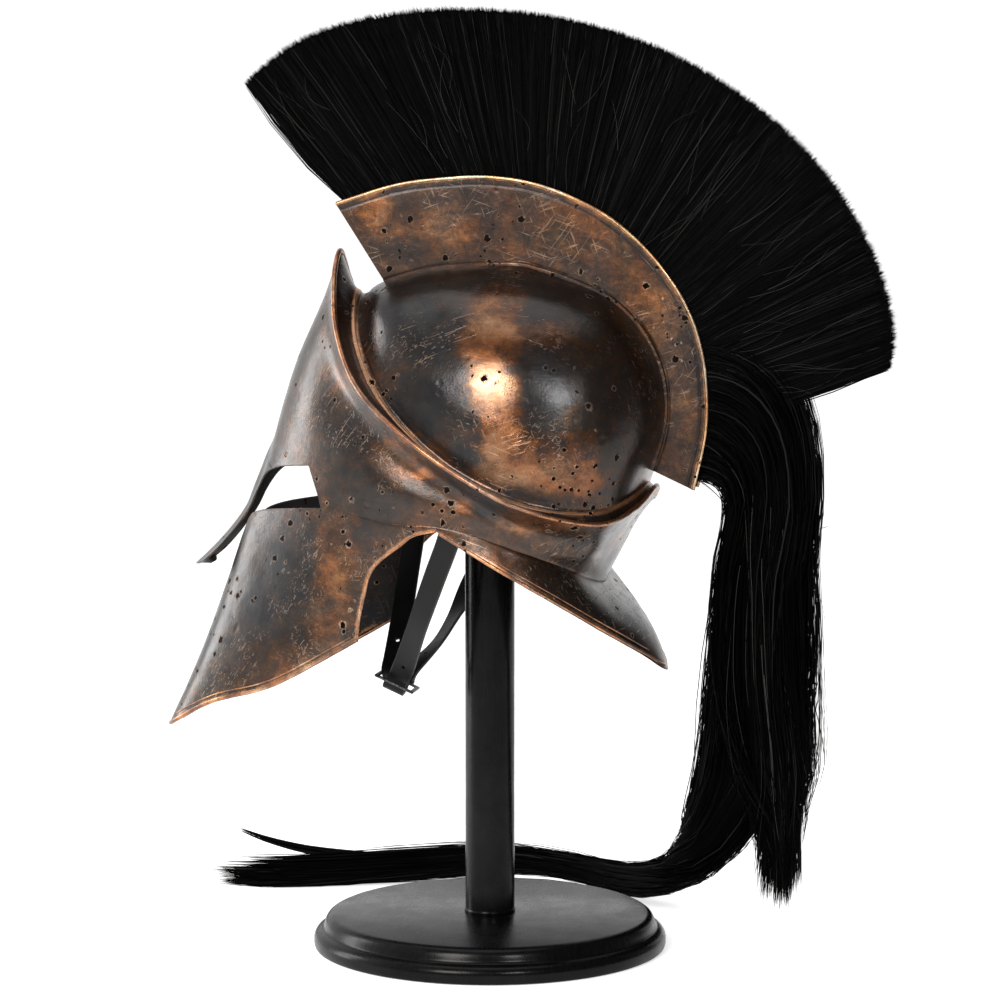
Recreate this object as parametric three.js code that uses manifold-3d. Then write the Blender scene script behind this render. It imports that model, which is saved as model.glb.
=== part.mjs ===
// A greek bronze helmet with a brush crest and a long hair tail, on its plain display stand.
//
// Frame, in millimetres: +Z is up, the helmet faces -Y and the wearer's left is +X. The origin is
// the middle of the stand's underside. The helmet is symmetric about the plane x = 0.
//
// The two metal shells are lofted through a net of control points. Each row of a net is a closed
// ring round the head, given by ten stations from the front middle to the rear middle on the
// wearer's left, and mirrored for the right. A spline runs through rows and stations.

import * as THREE from "three";
import { mergeVertices } from "three/addons/utils/BufferGeometryUtils.js";
import Module from "manifold-3d";

const wasm = await Module();
wasm.setup();

// ---------------------------------------------------------------- driving dimensions

const SHEET = 1.6; // thickness of the bronze sheet
const GAP = 0.35; // clearance between neighbouring pieces
const BROW_BEAD = 1.9; // radius of the rolled rim round the brow flange
const EDGE_BEAD = 1.5; // radius of the rolled rim along the cheeks and the neck guard

const CREST_WIDTH = 26; // outside width of the crest holder
const CREST_BEAD = 1.4; // radius of the crest holder's rolled rims
const CREST_DEPTH = 15; // how deep the brush sits in the holder
const BRUSH_TOP_WIDTH = 42; // the brush fans out to this width

const BASE_RADIUS = 136;
const BASE_HEIGHT = 26;
const POST_RADIUS = 19;
const POST_TOP = 517; // the rounded end of the post, just under the skull bowl

const STRAP_WIDTH = 19;
const STRAP_THICKNESS = 2.2;

const LAST_STATION = 9; // stations run from 0, front middle, to 9, rear middle

// Where the facets of a shell meet, as stations on the left: closest round the nose.
const FACETS_LEFT = [0, 0.2, 0.4, 0.54, 0.63, 0.69, 0.85, 1.1];
for (let i = 1; i <= 17; i++) FACETS_LEFT.push(1.1 + (i * (LAST_STATION - 1.1)) / 17);
const FACETS = [...FACETS_LEFT, ...FACETS_LEFT.slice(1, -1).reverse().map((u) => 2 * LAST_STATION - u)];

// Rows of the face and neck guard, from the rim of the brow flange down: [x, y, z] per station.
const FACE_NET = [
  // rim of the flange
  [[0, -116, 534], [25, -115, 513], [52, -107, 475], [80, -86, 437], [98, -52, 406],
   [110, -5, 375], [112, 45, 350], [86, 95, 337], [48, 117.5, 345], [0, 127, 358]],
  // throat under the flange
  [[0, -124, 508], [24, -121, 490], [49, -112, 456], [73, -90, 421], [88, -56, 391],
   [97, -5, 360], [97, 43, 336], [75, 87, 324], [42, 105, 329], [0, 114, 337]],
  // forehead
  [[0, -150, 446], [26, -146, 436], [54, -127, 415], [78, -95, 385], [92, -57, 362],
   [97, -6, 345], [94, 42, 325], [72, 80, 312], [39, 95, 313], [0, 103, 316]],
  // brow, and the crease of the neck guard
  [[0, -168, 384], [26, -163, 376], [53, -137, 362], [76, -101, 347], [90, -59, 338],
   [96, -10, 333], [92, 42, 316], [67, 72, 302], [36, 82, 293], [0, 88, 286]],
  // just under the crease, where the neck guard starts to flare
  [[0, -171, 374], [26, -167, 366], [52, -141, 354], [75, -104, 340], [90, -60, 331],
   [96.5, -10, 329], [94, 43, 311], [69, 75, 296], [38, 86, 287], [0, 93, 281]],
  // eyes and the middle of the flare
  [[0, -191, 322], [23, -186, 316], [48, -158, 306], [71, -118, 298], [87, -66, 292],
   [98, -12, 305], [103, 44, 288], [79, 87, 270], [45, 109, 259], [0, 123, 250]],
  // cheeks and the edge of the flare
  [[0, -218, 240], [26, -213.5, 240], [46, -190, 240], [66, -150, 240], [82, -90, 240],
   [98, -14, 262], [110, 46, 250], [86, 94, 231], [50, 121, 221], [0, 140, 208]],
  // under the chin and under the flare, all of it cut away but the chins
  [[0, -256, 150], [28, -254, 150], [46, -228, 150], [60, -190, 160], [72, -130, 180],
   [98, -14, 230], [114, 48, 225], [90, 99, 207], [54, 127, 195], [0, 151, 180]],
];

// Rows of the skull bowl, from the inside of the flange's rim, over the channel, up to the apex.
const BOWL_NET = [
  [[0, -113, 529], [24, -112, 509], [50, -104, 473], [77, -84, 435], [95, -51, 405],
   [106, -5, 374.5], [108, 45, 350.5], [83, 92, 339.5], [46.5, 114, 348], [0, 123.5, 359.5]],
  [[0, -107, 511], [23, -105, 496], [48, -97, 468], [73, -78, 434], [89, -48, 403],
   [100, -5, 372.5], [103, 45, 350], [81, 91, 343], [46.5, 113.5, 351], [0, 123, 361.5]],
  // where the dome meets the channel
  [[0, -97, 503], [22, -96, 492], [46, -89, 469], [69, -71, 438], [84, -44, 407],
   [94, -5, 378], [97, 44, 357], [79, 90, 350], [46, 114, 356], [0, 123.5, 365]],
  [[0, -86, 510], [20, -84, 506], [42, -76, 495], [64, -60, 475], [82, -36, 448],
   [95, 2, 420], [96, 48, 404], [80, 95, 400], [46, 126, 404], [0, 137, 410]],
  [[0, -68, 517], [17, -65, 515], [35, -57, 508], [53, -43, 496], [70, -22, 480],
   [84, 10, 464], [84, 50, 456], [68, 92, 454], [40, 120, 455], [0, 131, 456]],
  [[0, -38, 524], [11, -36, 523], [23, -30, 520], [36, -20, 515], [48, -4, 508],
   [56, 16, 502], [55, 45, 499], [45, 73, 496], [26, 92, 497], [0, 99, 498]],
  // apex
  [[0, 14, 528.4], [2, 14, 528.3], [4, 16, 528.2], [6, 18, 528], [7, 22, 527.8],
   [8, 26, 527.5], [7, 30, 527.2], [5, 33, 526.8], [3, 36, 526.4], [0, 37, 526.2]],
];

// The opening of the face seen from the front, [x, z] on the wearer's left: the tip and edge of
// the nasal, the eye, and the cheek's front edge down to below the chin.
const FACE_OPENING = [
  [0, 292], [9, 293.5], [15, 299], [14.5, 308], [12.5, 322], [12.5, 342], [15, 354], [21, 364],
  [32, 371], [61, 375.5], [66, 361], [71, 343.5], [60, 342], [38, 338.5], [26, 335], [20, 331],
  [19, 322], [19, 284], [16.5, 250], [14, 120], [0, 120],
];

// The lower edges seen from the wearer's left, [y, z]: chin, cheek's lower edge, its rear edge
// up to the arch, and the neck guard's edge down to its rear tip.
const CHEEK_LOWER = [[-262, 160], [-237, 176], [-206, 192], [-166, 204], [-145, 213], [-116, 229],
  [-85, 247]];
const CHEEK_REAR = [[-85, 247], [-83, 264], [-79, 282], [-75, 296], [-66, 307], [-50, 319],
  [-39, 327], [-22, 331]];
const NECK_EDGE = [[-22, 331], [11, 312], [39, 296.4], [63.5, 281.6], [85.3, 266.6], [101.4, 254.4],
  [113.7, 243.8], [126.3, 231.9], [136, 220.7], [156, 197]];

// The crest holder's upper rim and the brush's trimmed edge, seen from the side, [y, z].
const CREST_RIM = [[-117, 571], [-70, 585], [-31, 590], [2, 591], [36, 586], [69, 574], [99, 557],
  [126, 532], [148, 502], [161, 472], [167, 440], [167, 400], [158, 357]];
const CREST_FOOT = [[-74, 504], [-46, 515], [-8, 521], [15, 522], [54, 515], [85, 502], [112, 478],
  [126, 450], [132, 422], [131, 386], [132, 369]];
const BRUSH_EDGE = [[-185, 665], [-147, 693], [-108, 707], [-62, 715], [-15, 717], [38, 713],
  [84, 703], [130, 687], [175, 663], [216, 633], [250, 599], [276, 562], [295, 522], [305, 482],
  [303, 453]];

// The hair tail: middle of the bundle, half its width and half its thickness at each station,
// and the direction of its thickness. It hangs behind the neck and trails on the floor.
const TAIL = [
  { at: [0, 208, 413], wide: 42, thick: 12, across: [1, 0, 0] },
  { at: [-2, 215, 372], wide: 42, thick: 17, across: [1, 0, 0] },
  { at: [-8, 211, 322], wide: 37, thick: 19, across: [1, 0, 0] },
  { at: [-18, 210, 284], wide: 38, thick: 20, across: [1, 0, 0] },
  { at: [-42, 205, 208], wide: 45, thick: 20, across: [1, 0, 0.1] },
  { at: [-72, 198, 139], wide: 49, thick: 20, across: [1, 0, 0.2] },
  { at: [-95, 187, 95], wide: 47, thick: 20, across: [1, 0, 0.4] },
  { at: [-116, 166, 56], wide: 38, thick: 20, across: [0.8, 0, 0.7] },
  { at: [-140, 134, 29], wide: 30, thick: 17, across: [0.4, 0, 1] },
  { at: [-172, 90, 17], wide: 28, thick: 13, across: [0.1, 0, 1] },
  { at: [-208, 35, 14], wide: 26, thick: 11, across: [0, 0, 1] },
  { at: [-225, -35, 12], wide: 25, thick: 9.5, across: [0, 0, 1] },
  { at: [-215, -105, 10], wide: 22, thick: 8, across: [0, 0, 1] },
  { at: [-190, -165, 8.5], wide: 17, thick: 6.5, across: [0, 0, 1] },
  { at: [-172, -220, 7], wide: 10, thick: 5, across: [0, 0, 1] },
  { at: [-178, -262, 6], wide: 3.5, thick: 3, across: [0, 0, 1] },
];
const TAIL_SPLIT = 7.5; // the station where the hanging hair meets the trailing hair

// The upper lock of the tail's end, which lifts off the floor.
const UPPER_LOCK = [
  { at: [-224, -100, 12], wide: 9, thick: 5, across: [0, 0, 1] },
  { at: [-238, -128, 12], wide: 9, thick: 5, across: [0, 0, 1] },
  { at: [-243, -160, 12], wide: 8, thick: 4.5, across: [0, 0, 1] },
  { at: [-240, -205, 16], wide: 6, thick: 4, across: [0, 0, 1] },
  { at: [-236, -240, 25], wide: 3.5, thick: 2.5, across: [0, 0, 1] },
  { at: [-232, -266, 35], wide: 1.5, thick: 1.5, across: [0, 0, 1] },
];

// Chin strap: [x, y, z] of each strap's middle from the helmet to the buckle.
const STRAP_RIGHT = [[-80.5, -76, 318], [-77, -77, 304], [-60, -78, 276], [-36, -78, 244], [-14, -78, 220],
  [-5.8, -78, 212]];
const STRAP_LEFT = [[90, -11, 338], [86, -15, 322], [69, -29, 292], [45, -46, 256], [18, -62, 222],
  [5.8, -69, 209.5]];
const STRAP_NAPE = [[-89.5, 20, 332], [-87, 5, 313], [-79, -24, 283], [-62, -39.5, 249], [-33, -49, 229],
  [0.4, -63, 212.5]];
const BUCKLE_MIDDLE = [0, -73, 203];
const BUCKLE_TILT = -24; // degrees about X

// ---------------------------------------------------------------- materials

function metal(color, roughness) {
  return new THREE.MeshStandardMaterial({ color, roughness, metalness: 1 });
}

function matte(color, roughness) {
  return new THREE.MeshStandardMaterial({ color, roughness, metalness: 0 });
}

const BRONZE = metal("#5a3d28", 0.4);
const BRONZE_BOWL = metal("#6b432a", 0.36);
const BRONZE_CREST = metal("#6d4630", 0.42);
const HAIR = matte("#0b0b0c", 0.75);
const LEATHER = matte("#141415", 0.6);
const BLACK_STEEL = metal("#1c1c1e", 0.45);
const BLACK_WOOD = matte("#101011", 0.4);

// ---------------------------------------------------------------- splines and lofts

function splineWeights(t) {
  return [
    0.5 * (-t + 2 * t * t - t * t * t),
    0.5 * (2 - 5 * t * t + 3 * t * t * t),
    0.5 * (t + 4 * t * t - 3 * t * t * t),
    0.5 * (-t * t + t * t * t),
  ];
}

// A station of a ring; past either end of the list it is the mirrored one on the other side.
function station(row, i) {
  if (i < 0) return mirrored(row[-i]);
  if (i > LAST_STATION) return mirrored(row[2 * LAST_STATION - i]);
  return row[i];
}

function mirrored(p) {
  return [-p[0], p[1], p[2]];
}

function blend(points, weights) {
  return [0, 1, 2].map((k) => points.reduce((sum, p, i) => sum + p[k] * weights[i], 0));
}

function ringPoint(row, u) {
  if (u > LAST_STATION) return mirrored(ringPoint(row, 2 * LAST_STATION - u));
  const i = Math.min(Math.floor(u), LAST_STATION - 1);
  const near = [-1, 0, 1, 2].map((k) => station(row, i + k));
  return blend(near, splineWeights(u - i));
}

// The point of a net at station u and row v. Past the first and last row the net goes on straight.
function netPoint(net, u, v) {
  const i = Math.min(Math.floor(v), net.length - 2);
  const rows = [-1, 0, 1, 2].map((k) => {
    const r = i + k;
    if (r < 0) return extended(net[0], net[1], u);
    if (r >= net.length) return extended(net[net.length - 1], net[net.length - 2], u);
    return ringPoint(net[r], u);
  });
  return blend(rows, splineWeights(v - i));
}

function extended(end, inner, u) {
  const a = ringPoint(end, u);
  const b = ringPoint(inner, u);
  return a.map((value, k) => 2 * value - b[k]);
}

function smooth(a, b, value) {
  const t = Math.min(Math.max((value - a) / (b - a), 0), 1);
  return t * t * (3 - 2 * t);
}

// The face has a soft ridge down the nose, and the nasal sweeps forward towards its tip.
const NOSE_RIDGE = 5;
const NASAL_ROOT = 342;
const NASAL_SWEEP = 24;
const NASAL_DROP = 48;

function facePoint(u, v) {
  const [x, y, z] = netPoint(FACE_NET, u, v);
  if (y > -100) return [x, y, z];
  const ridge = NOSE_RIDGE * Math.exp(-((x / 9) ** 2)) * smooth(400, 372, z);
  const below = Math.min(Math.max((NASAL_ROOT - z) / NASAL_DROP, 0), 1.2) * smooth(280, 290, z);
  const sweep = NASAL_SWEEP * below ** 1.6 * smooth(16.4, 15, Math.abs(x));
  return [x, y - ridge - sweep, z];
}

function bowlPoint(u, v) {
  return netPoint(BOWL_NET, u, v);
}

function surfaceNormal(surface, u, v, lastRow) {
  const d = 0.05;
  const u1 = (u + d) % (2 * LAST_STATION);
  const u0 = (u - d + 2 * LAST_STATION) % (2 * LAST_STATION);
  const along = new THREE.Vector3(...surface(u1, v)).sub(new THREE.Vector3(...surface(u0, v)));
  const v1 = Math.min(v + d, lastRow);
  const v0 = Math.max(v - d, 0);
  const down = new THREE.Vector3(...surface(u, v1)).sub(new THREE.Vector3(...surface(u, v0)));
  return along.cross(down).normalize();
}

// Vertices of a grid whose rows and columns both close on themselves, as one closed surface.
function wrappedGrid(rows) {
  const n = rows.length;
  const m = rows[0].length;
  const at = (i, j) => (i % n) * m + (j % m);
  const index = [];
  for (let i = 0; i < n; i++) {
    for (let j = 0; j < m; j++) {
      index.push(at(i, j), at(i + 1, j), at(i + 1, j + 1));
      index.push(at(i, j), at(i + 1, j + 1), at(i, j + 1));
    }
  }
  return closedGeometry(rows.flat(), index);
}

// A loft through closed rings, with a flat fan over each end.
function loft(rings) {
  const m = rings[0].length;
  const points = rings.flat();
  const index = [];
  for (let i = 0; i + 1 < rings.length; i++) {
    for (let j = 0; j < m; j++) {
      const k = (j + 1) % m;
      index.push(i * m + j, i * m + k, (i + 1) * m + k);
      index.push(i * m + j, (i + 1) * m + k, (i + 1) * m + j);
    }
  }
  const start = points.push(middle(rings[0])) - 1;
  const end = points.push(middle(rings[rings.length - 1])) - 1;
  const last = (rings.length - 1) * m;
  for (let j = 0; j < m; j++) {
    const k = (j + 1) % m;
    index.push(start, k, j);
    index.push(end, last + j, last + k);
  }
  return closedGeometry(points, index);
}

function middle(ring) {
  return [0, 1, 2].map((k) => ring.reduce((sum, p) => sum + p[k], 0) / ring.length);
}

function closedGeometry(points, index) {
  const geometry = new THREE.BufferGeometry();
  geometry.setAttribute("position", new THREE.Float32BufferAttribute(points.flat(), 3));
  geometry.setIndex(index);
  return outward(geometry);
}

// Turns a closed surface so that its faces point out.
function outward(geometry) {
  const p = geometry.getAttribute("position");
  const index = geometry.index.array;
  const [a, b, c] = [new THREE.Vector3(), new THREE.Vector3(), new THREE.Vector3()];
  let volume = 0;
  for (let i = 0; i < index.length; i += 3) {
    a.fromBufferAttribute(p, index[i]);
    b.fromBufferAttribute(p, index[i + 1]);
    c.fromBufferAttribute(p, index[i + 2]);
    volume += a.dot(b.cross(c));
  }
  if (volume < 0) {
    for (let i = 0; i < index.length; i += 3) {
      [index[i + 1], index[i + 2]] = [index[i + 2], index[i + 1]];
    }
  }
  return geometry;
}

// ---------------------------------------------------------------- solids that join and cut

function solid(geometry) {
  const bare = geometry.index ? geometry.toNonIndexed() : geometry.clone();
  bare.deleteAttribute("normal");
  bare.deleteAttribute("uv");
  const merged = mergeVertices(bare, 1e-4);
  const mesh = new wasm.Mesh({
    numProp: 3,
    vertProperties: merged.getAttribute("position").array,
    triVerts: new Uint32Array(merged.index.array),
  });
  return new wasm.Manifold(mesh);
}

function geometryOf(body) {
  const mesh = body.getMesh();
  const geometry = new THREE.BufferGeometry();
  geometry.setAttribute("position", new THREE.Float32BufferAttribute(mesh.vertProperties, 3));
  geometry.setIndex([...mesh.triVerts]);
  const flat = geometry.toNonIndexed();
  flat.computeVertexNormals();
  return flat;
}

// A prism whose outline is drawn in [y, z] and which runs along X between two places.
function sidePrism(outline, x0, x1) {
  const shape = new THREE.Shape(outline.map(([y, z]) => new THREE.Vector2(y, z)));
  const prism = new THREE.ExtrudeGeometry(shape, { depth: x1 - x0, bevelEnabled: false });
  // shape x -> Y, shape y -> Z, depth -> X
  prism.applyMatrix4(new THREE.Matrix4().set(0, 0, 1, x0, 1, 0, 0, 0, 0, 1, 0, 0, 0, 0, 0, 1));
  return solid(prism);
}

// A prism whose outline is drawn in [x, z] and which runs along Y between two places.
function frontPrism(outline, y0, y1) {
  const shape = new THREE.Shape(outline.map(([x, z]) => new THREE.Vector2(x, z)));
  const prism = new THREE.ExtrudeGeometry(shape, { depth: y1 - y0, bevelEnabled: false });
  // shape x -> X, shape y -> Z, depth -> -Y from y1
  prism.applyMatrix4(new THREE.Matrix4().set(1, 0, 0, 0, 0, 0, -1, y1, 0, 1, 0, 0, 0, 0, 0, 1));
  return solid(prism);
}

function splineThrough(points, count) {
  const curve = new THREE.CatmullRomCurve3(points.map((p) => new THREE.Vector3(...p)));
  return curve.getPoints(count);
}

// A smooth outline through side-view points, as [y, z] pairs.
function smoothOutline(points, count) {
  return splineThrough(points.map(([y, z]) => [0, y, z]), count).map((p) => [p.y, p.z]);
}

// A round bead along a list of points.
function bead(points, radius, sides, steps) {
  const path = new THREE.CatmullRomCurve3(points.map((p) => new THREE.Vector3(...p)));
  const circle = new THREE.Shape();
  for (let i = 0; i < sides; i++) {
    const angle = (2 * Math.PI * i) / sides;
    const [x, y] = [radius * Math.cos(angle), radius * Math.sin(angle)];
    if (i) circle.lineTo(x, y);
    else circle.moveTo(x, y);
  }
  return new THREE.ExtrudeGeometry(circle, { steps, extrudePath: path });
}

// ---------------------------------------------------------------- face and neck guard

// A shell of even thickness hung below a surface's first row, with a round bead along that row.
function shellWithBead(surface, lastRow, rows, beadRadius, beadSides) {
  const profiles = FACETS.map((u) => {
    const outer = rows.map((v) => surface(u, v));
    const inner = rows.map((v) => {
      const n = surfaceNormal(surface, u, v, lastRow);
      return new THREE.Vector3(...surface(u, v)).addScaledVector(n, -SHEET).toArray();
    });
    const arc = beadArc(outer[0], inner[0], outer[1], beadRadius, beadSides);
    return [...outer, ...inner.reverse(), ...arc];
  });
  return wrappedGrid(profiles);
}

// Points of a round bead that closes the top of a sheet, from its inner to its outer face.
function beadArc(outer, inner, below, radius, sides) {
  const a = new THREE.Vector3(...outer);
  const b = new THREE.Vector3(...inner);
  const out = a.clone().sub(b).normalize();
  const up = a.clone().sub(new THREE.Vector3(...below)).normalize();
  const centre = a.clone().add(b).multiplyScalar(0.5).addScaledVector(up, radius * 0.8);
  const arc = [];
  for (let i = 0; i <= sides; i++) {
    const angle = THREE.MathUtils.degToRad(-130 + (260 * i) / sides);
    const point = centre.clone();
    point.addScaledVector(out, radius * Math.sin(angle));
    point.addScaledVector(up, radius * Math.cos(angle));
    arc.push(point.toArray());
  }
  return arc;
}

// The height of the lower edges at a distance behind the stand's axis.
const LOWER_EDGES = [...CHEEK_LOWER, ...CHEEK_REAR.slice(1), ...NECK_EDGE.slice(1)];

function edgeHeight(y) {
  const after = LOWER_EDGES.findIndex((p) => p[0] >= y);
  const k = after < 0 ? LOWER_EDGES.length - 1 : Math.max(after, 1);
  const [[y0, z0], [y1, z1]] = [LOWER_EDGES[k - 1], LOWER_EDGES[k]];
  return z0 + ((y - y0) * (z1 - z0)) / (y1 - y0);
}

// Where the lower edge crosses a station's meridian, in the middle of the sheet.
function edgePoint(u) {
  const step = 0.02;
  let v = 3;
  while (v < FACE_NET.length - 1) {
    const [, y, z] = facePoint(u, v);
    if (z < edgeHeight(y)) break;
    v += step;
  }
  const n = surfaceNormal(facePoint, u, v, FACE_NET.length - 1);
  return new THREE.Vector3(...facePoint(u, v)).addScaledVector(n, -SHEET / 2).toArray();
}

function edgeLine(from, to, count) {
  const points = [];
  for (let i = 0; i <= count; i++) points.push(edgePoint(from + ((to - from) * i) / count));
  return points;
}

// The place on the left, in the middle of the sheet, that a side view shows at [y, z].
function sidePoint([y, z]) {
  const miss = (u, v) => {
    const p = facePoint(u, v);
    return Math.hypot(p[1] - y, p[2] - z);
  };
  let [u, v] = [3.6, 5.4];
  let step = 0.5;
  while (step > 0.001) {
    const around = [[step, 0], [-step, 0], [0, step], [0, -step]].map(([a, b]) => [u + a, v + b]);
    const best = around.reduce((a, b) => (miss(...b) < miss(...a) ? b : a));
    if (miss(...best) < miss(u, v)) [u, v] = best;
    else step /= 2;
  }
  const n = surfaceNormal(facePoint, u, v, FACE_NET.length - 1);
  return new THREE.Vector3(...facePoint(u, v)).addScaledVector(n, -SHEET / 2).toArray();
}

// A side-view line laid on the sheet, with a point halfway along each of its stretches.
function sideLine(outline) {
  const points = [sidePoint(outline[0])];
  for (let i = 1; i < outline.length; i++) {
    const [a, b] = [outline[i - 1], outline[i]];
    points.push(sidePoint([(a[0] + b[0]) / 2, (a[1] + b[1]) / 2]), sidePoint(b));
  }
  return points;
}

const CHIN_START = 0.72; // the station where the cheek's lower rim starts
const ARCH = 4.82; // the station of the arch over the ear

function faceAndNeckGuard() {
  const rows = [0, 0.5, 1, 2, 2.5, 3, 4, 4.5, 5, 5.3, 5.42, 5.55, 6, 7];
  const last = FACE_NET.length - 1;
  let shell = solid(shellWithBead(facePoint, last, rows, BROW_BEAD, 6));

  const opening = [...FACE_OPENING, ...FACE_OPENING.slice(1, -1).reverse().map(([x, z]) => [-x, z])];
  shell = shell.subtract(frontPrism(opening, -320, -70));

  const lower = [[-300, 134.6], ...LOWER_EDGES, [180, 197], [180, 100], [-300, 100]];
  shell = shell.subtract(sidePrism(lower, -200, 200));

  const chin = [edgePoint(CHIN_START), ...sideLine(CHEEK_LOWER.slice(1))];
  const rear = sideLine(CHEEK_REAR);
  const neck = edgeLine(ARCH, LAST_STATION, 14);
  for (const side of [1, -1]) {
    const flip = (p) => [side * p[0], p[1], p[2]];
    shell = shell.add(solid(bead(chin.map(flip), EDGE_BEAD, 5, 14)));
    shell = shell.add(solid(bead(rear.map(flip), EDGE_BEAD * 0.7, 5, 12)));
  }
  const round = [...neck, ...neck.slice(0, -1).map(mirrored).reverse()];
  return shell.add(solid(bead(round, EDGE_BEAD, 5, 40)));
}

// ---------------------------------------------------------------- skull bowl

const DOME_ROWS = [3, 4, 5, 5.5, 5.8, 6];

// A ring of the bowl's surface, moved out along its normals.
function bowlRing(v, offset) {
  return FACETS.map((u) => {
    const n = surfaceNormal(bowlPoint, u, v, BOWL_NET.length - 1);
    return new THREE.Vector3(...bowlPoint(u, v)).addScaledVector(n, offset).toArray();
  });
}

// The channel inside the flange and the dome over it, as one sheet of even thickness.
function skullBowl() {
  const rows = [0, 0.5, 1, 1.5, 2, 2.4, ...DOME_ROWS];
  const inner = rows.map((v) => bowlRing(v, -SHEET));
  const outer = rows.map((v) => bowlRing(v, 0));
  return loft([...inner.reverse(), ...outer]);
}

// The bowl without its hollow, grown by the clearance, which the crest holder is cut to.
function bowlBlock() {
  return solid(loft([2, 2.4, ...DOME_ROWS].map((v) => bowlRing(v, 1.5 * GAP))));
}

// ---------------------------------------------------------------- crest

const CREST_CENTRE = [20, 415]; // the middle of the crest's arc, [y, z]
const RIM_STEPS = 28;
const BRUSH_SPAN = [0.012, 0.915]; // the stretch of the holder's rim that the brush fills

function sideCurve(points) {
  return new THREE.CatmullRomCurve3(points.map(([y, z]) => new THREE.Vector3(0, y, z)));
}

const rimCurve = sideCurve(CREST_RIM);
const edgeCurve = sideCurve(BRUSH_EDGE);

function along(curve, from, to) {
  const points = [];
  for (let i = 0; i <= RIM_STEPS; i++) {
    const p = curve.getPoint(from + ((to - from) * i) / RIM_STEPS);
    points.push([p.y, p.z]);
  }
  return points;
}

// A side-view line moved towards the middle of the crest's arc, or away from it.
function inward(line, distance) {
  const [cy, cz] = CREST_CENTRE;
  return line.map(([y, z]) => {
    const length = Math.hypot(cy - y, cz - z);
    return [y + ((cy - y) * distance) / length, z + ((cz - z) * distance) / length];
  });
}

function crestHolder() {
  const rim = along(rimCurve, 0, 1);
  const outline = [...rim, ...smoothOutline(CREST_FOOT, 20).reverse()];
  const half = CREST_WIDTH / 2;
  let holder = sidePrism(outline, -half, half);

  const [from, to] = BRUSH_SPAN;
  const mouth = along(rimCurve, from - 0.004, to + 0.004);
  const trough = [...inward(mouth, -10), ...inward(mouth, CREST_DEPTH).reverse()];
  holder = holder.subtract(sidePrism(trough, SHEET - half, half - SHEET));

  for (const side of [1, -1]) {
    const line = rim.map(([y, z]) => [side * (half - 0.4), y, z]);
    holder = holder.add(solid(bead(line, CREST_BEAD, 5, RIM_STEPS)));
  }
  return holder.subtract(bowlBlock());
}

// The brush of stiff hair: its outer form, fanned out from the holder to its trimmed edge.
function brushPlume() {
  const rim = along(rimCurve, ...BRUSH_SPAN);
  const [foot, mouth] = [inward(rim, CREST_DEPTH - 1.5), inward(rim, -3)];
  const edge = along(edgeCurve, 0, 1);
  const footHalf = CREST_WIDTH / 2 - SHEET - GAP;
  const topHalf = BRUSH_TOP_WIDTH / 2;
  const rings = foot.map(([fy, fz], i) => {
    const [[my, mz], [ey, ez]] = [mouth[i], edge[i]];
    return [
      [footHalf, fy, fz], [footHalf, my, mz], [topHalf, ey, ez],
      [-topHalf, ey, ez], [-footHalf, my, mz], [-footHalf, fy, fz],
    ];
  });
  return loft(rings);
}

// ---------------------------------------------------------------- hair tail

const TAIL_SIDES = 12;

function tailSection(stations, t) {
  const i = Math.min(Math.floor(t), stations.length - 2);
  const pick = (k) => stations[Math.min(Math.max(i + k, 0), stations.length - 1)];
  const near = [-1, 0, 1, 2].map(pick);
  const w = splineWeights(t - i);
  const value = (read) => near.reduce((sum, s, k) => sum + read(s) * w[k], 0);
  return {
    at: new THREE.Vector3(...[0, 1, 2].map((k) => value((s) => s.at[k]))),
    wide: value((s) => s.wide),
    thick: value((s) => s.thick),
    across: new THREE.Vector3(...[0, 1, 2].map((k) => value((s) => s.across[k]))),
  };
}

function tailRing(stations, t) {
  const last = stations.length - 1;
  const here = tailSection(stations, t);
  const ahead = tailSection(stations, Math.min(t + 0.05, last)).at;
  const behind = tailSection(stations, Math.max(t - 0.05, 0)).at;
  const along = ahead.sub(behind).normalize();
  const wide = along.clone().cross(here.across).normalize();
  const across = wide.clone().cross(along).normalize();
  const ring = [];
  for (let k = 0; k < TAIL_SIDES; k++) {
    const angle = (2 * Math.PI * k) / TAIL_SIDES;
    const point = here.at.clone();
    point.addScaledVector(wide, here.wide * Math.cos(angle));
    point.addScaledVector(across, here.thick * Math.sin(angle));
    ring.push(point.toArray());
  }
  return ring;
}

function tailLength(stations, from, to, step) {
  const rings = [];
  for (let t = from; t < to - step / 2; t += step) rings.push(tailRing(stations, t));
  rings.push(tailRing(stations, to));
  return rings;
}

function hangingTail() {
  return loft(tailLength(TAIL, 0.12, TAIL_SPLIT, 0.5));
}

function trailingTail() {
  const clearance = 0.03;
  const bundle = loft(tailLength(TAIL, TAIL_SPLIT + clearance, TAIL.length - 1, 0.5));
  const lock = loft(tailLength(UPPER_LOCK, 0, UPPER_LOCK.length - 1, 0.5));
  return solid(bundle).add(solid(lock));
}

// ---------------------------------------------------------------- straps and buckle

// A flat strap through its middle points, lying with its width along the given direction.
function strap(points, acrossTop, acrossEnd) {
  const middle = splineThrough(points, 12);
  const rings = middle.map((p, i) => {
    const t = i / (middle.length - 1);
    const ahead = middle[Math.min(i + 1, middle.length - 1)];
    const behind = middle[Math.max(i - 1, 0)];
    const along = ahead.clone().sub(behind).normalize();
    const wide = new THREE.Vector3(...acrossTop).lerp(new THREE.Vector3(...acrossEnd), t);
    wide.addScaledVector(along, -wide.dot(along)).normalize();
    const face = along.clone().cross(wide);
    const [w, h] = [STRAP_WIDTH / 2, STRAP_THICKNESS / 2];
    return [[w, h], [-w, h], [-w, -h], [w, -h]].map(([a, b]) =>
      p.clone().addScaledVector(wide, a).addScaledVector(face, b).toArray());
  });
  return loft(rings);
}

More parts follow.
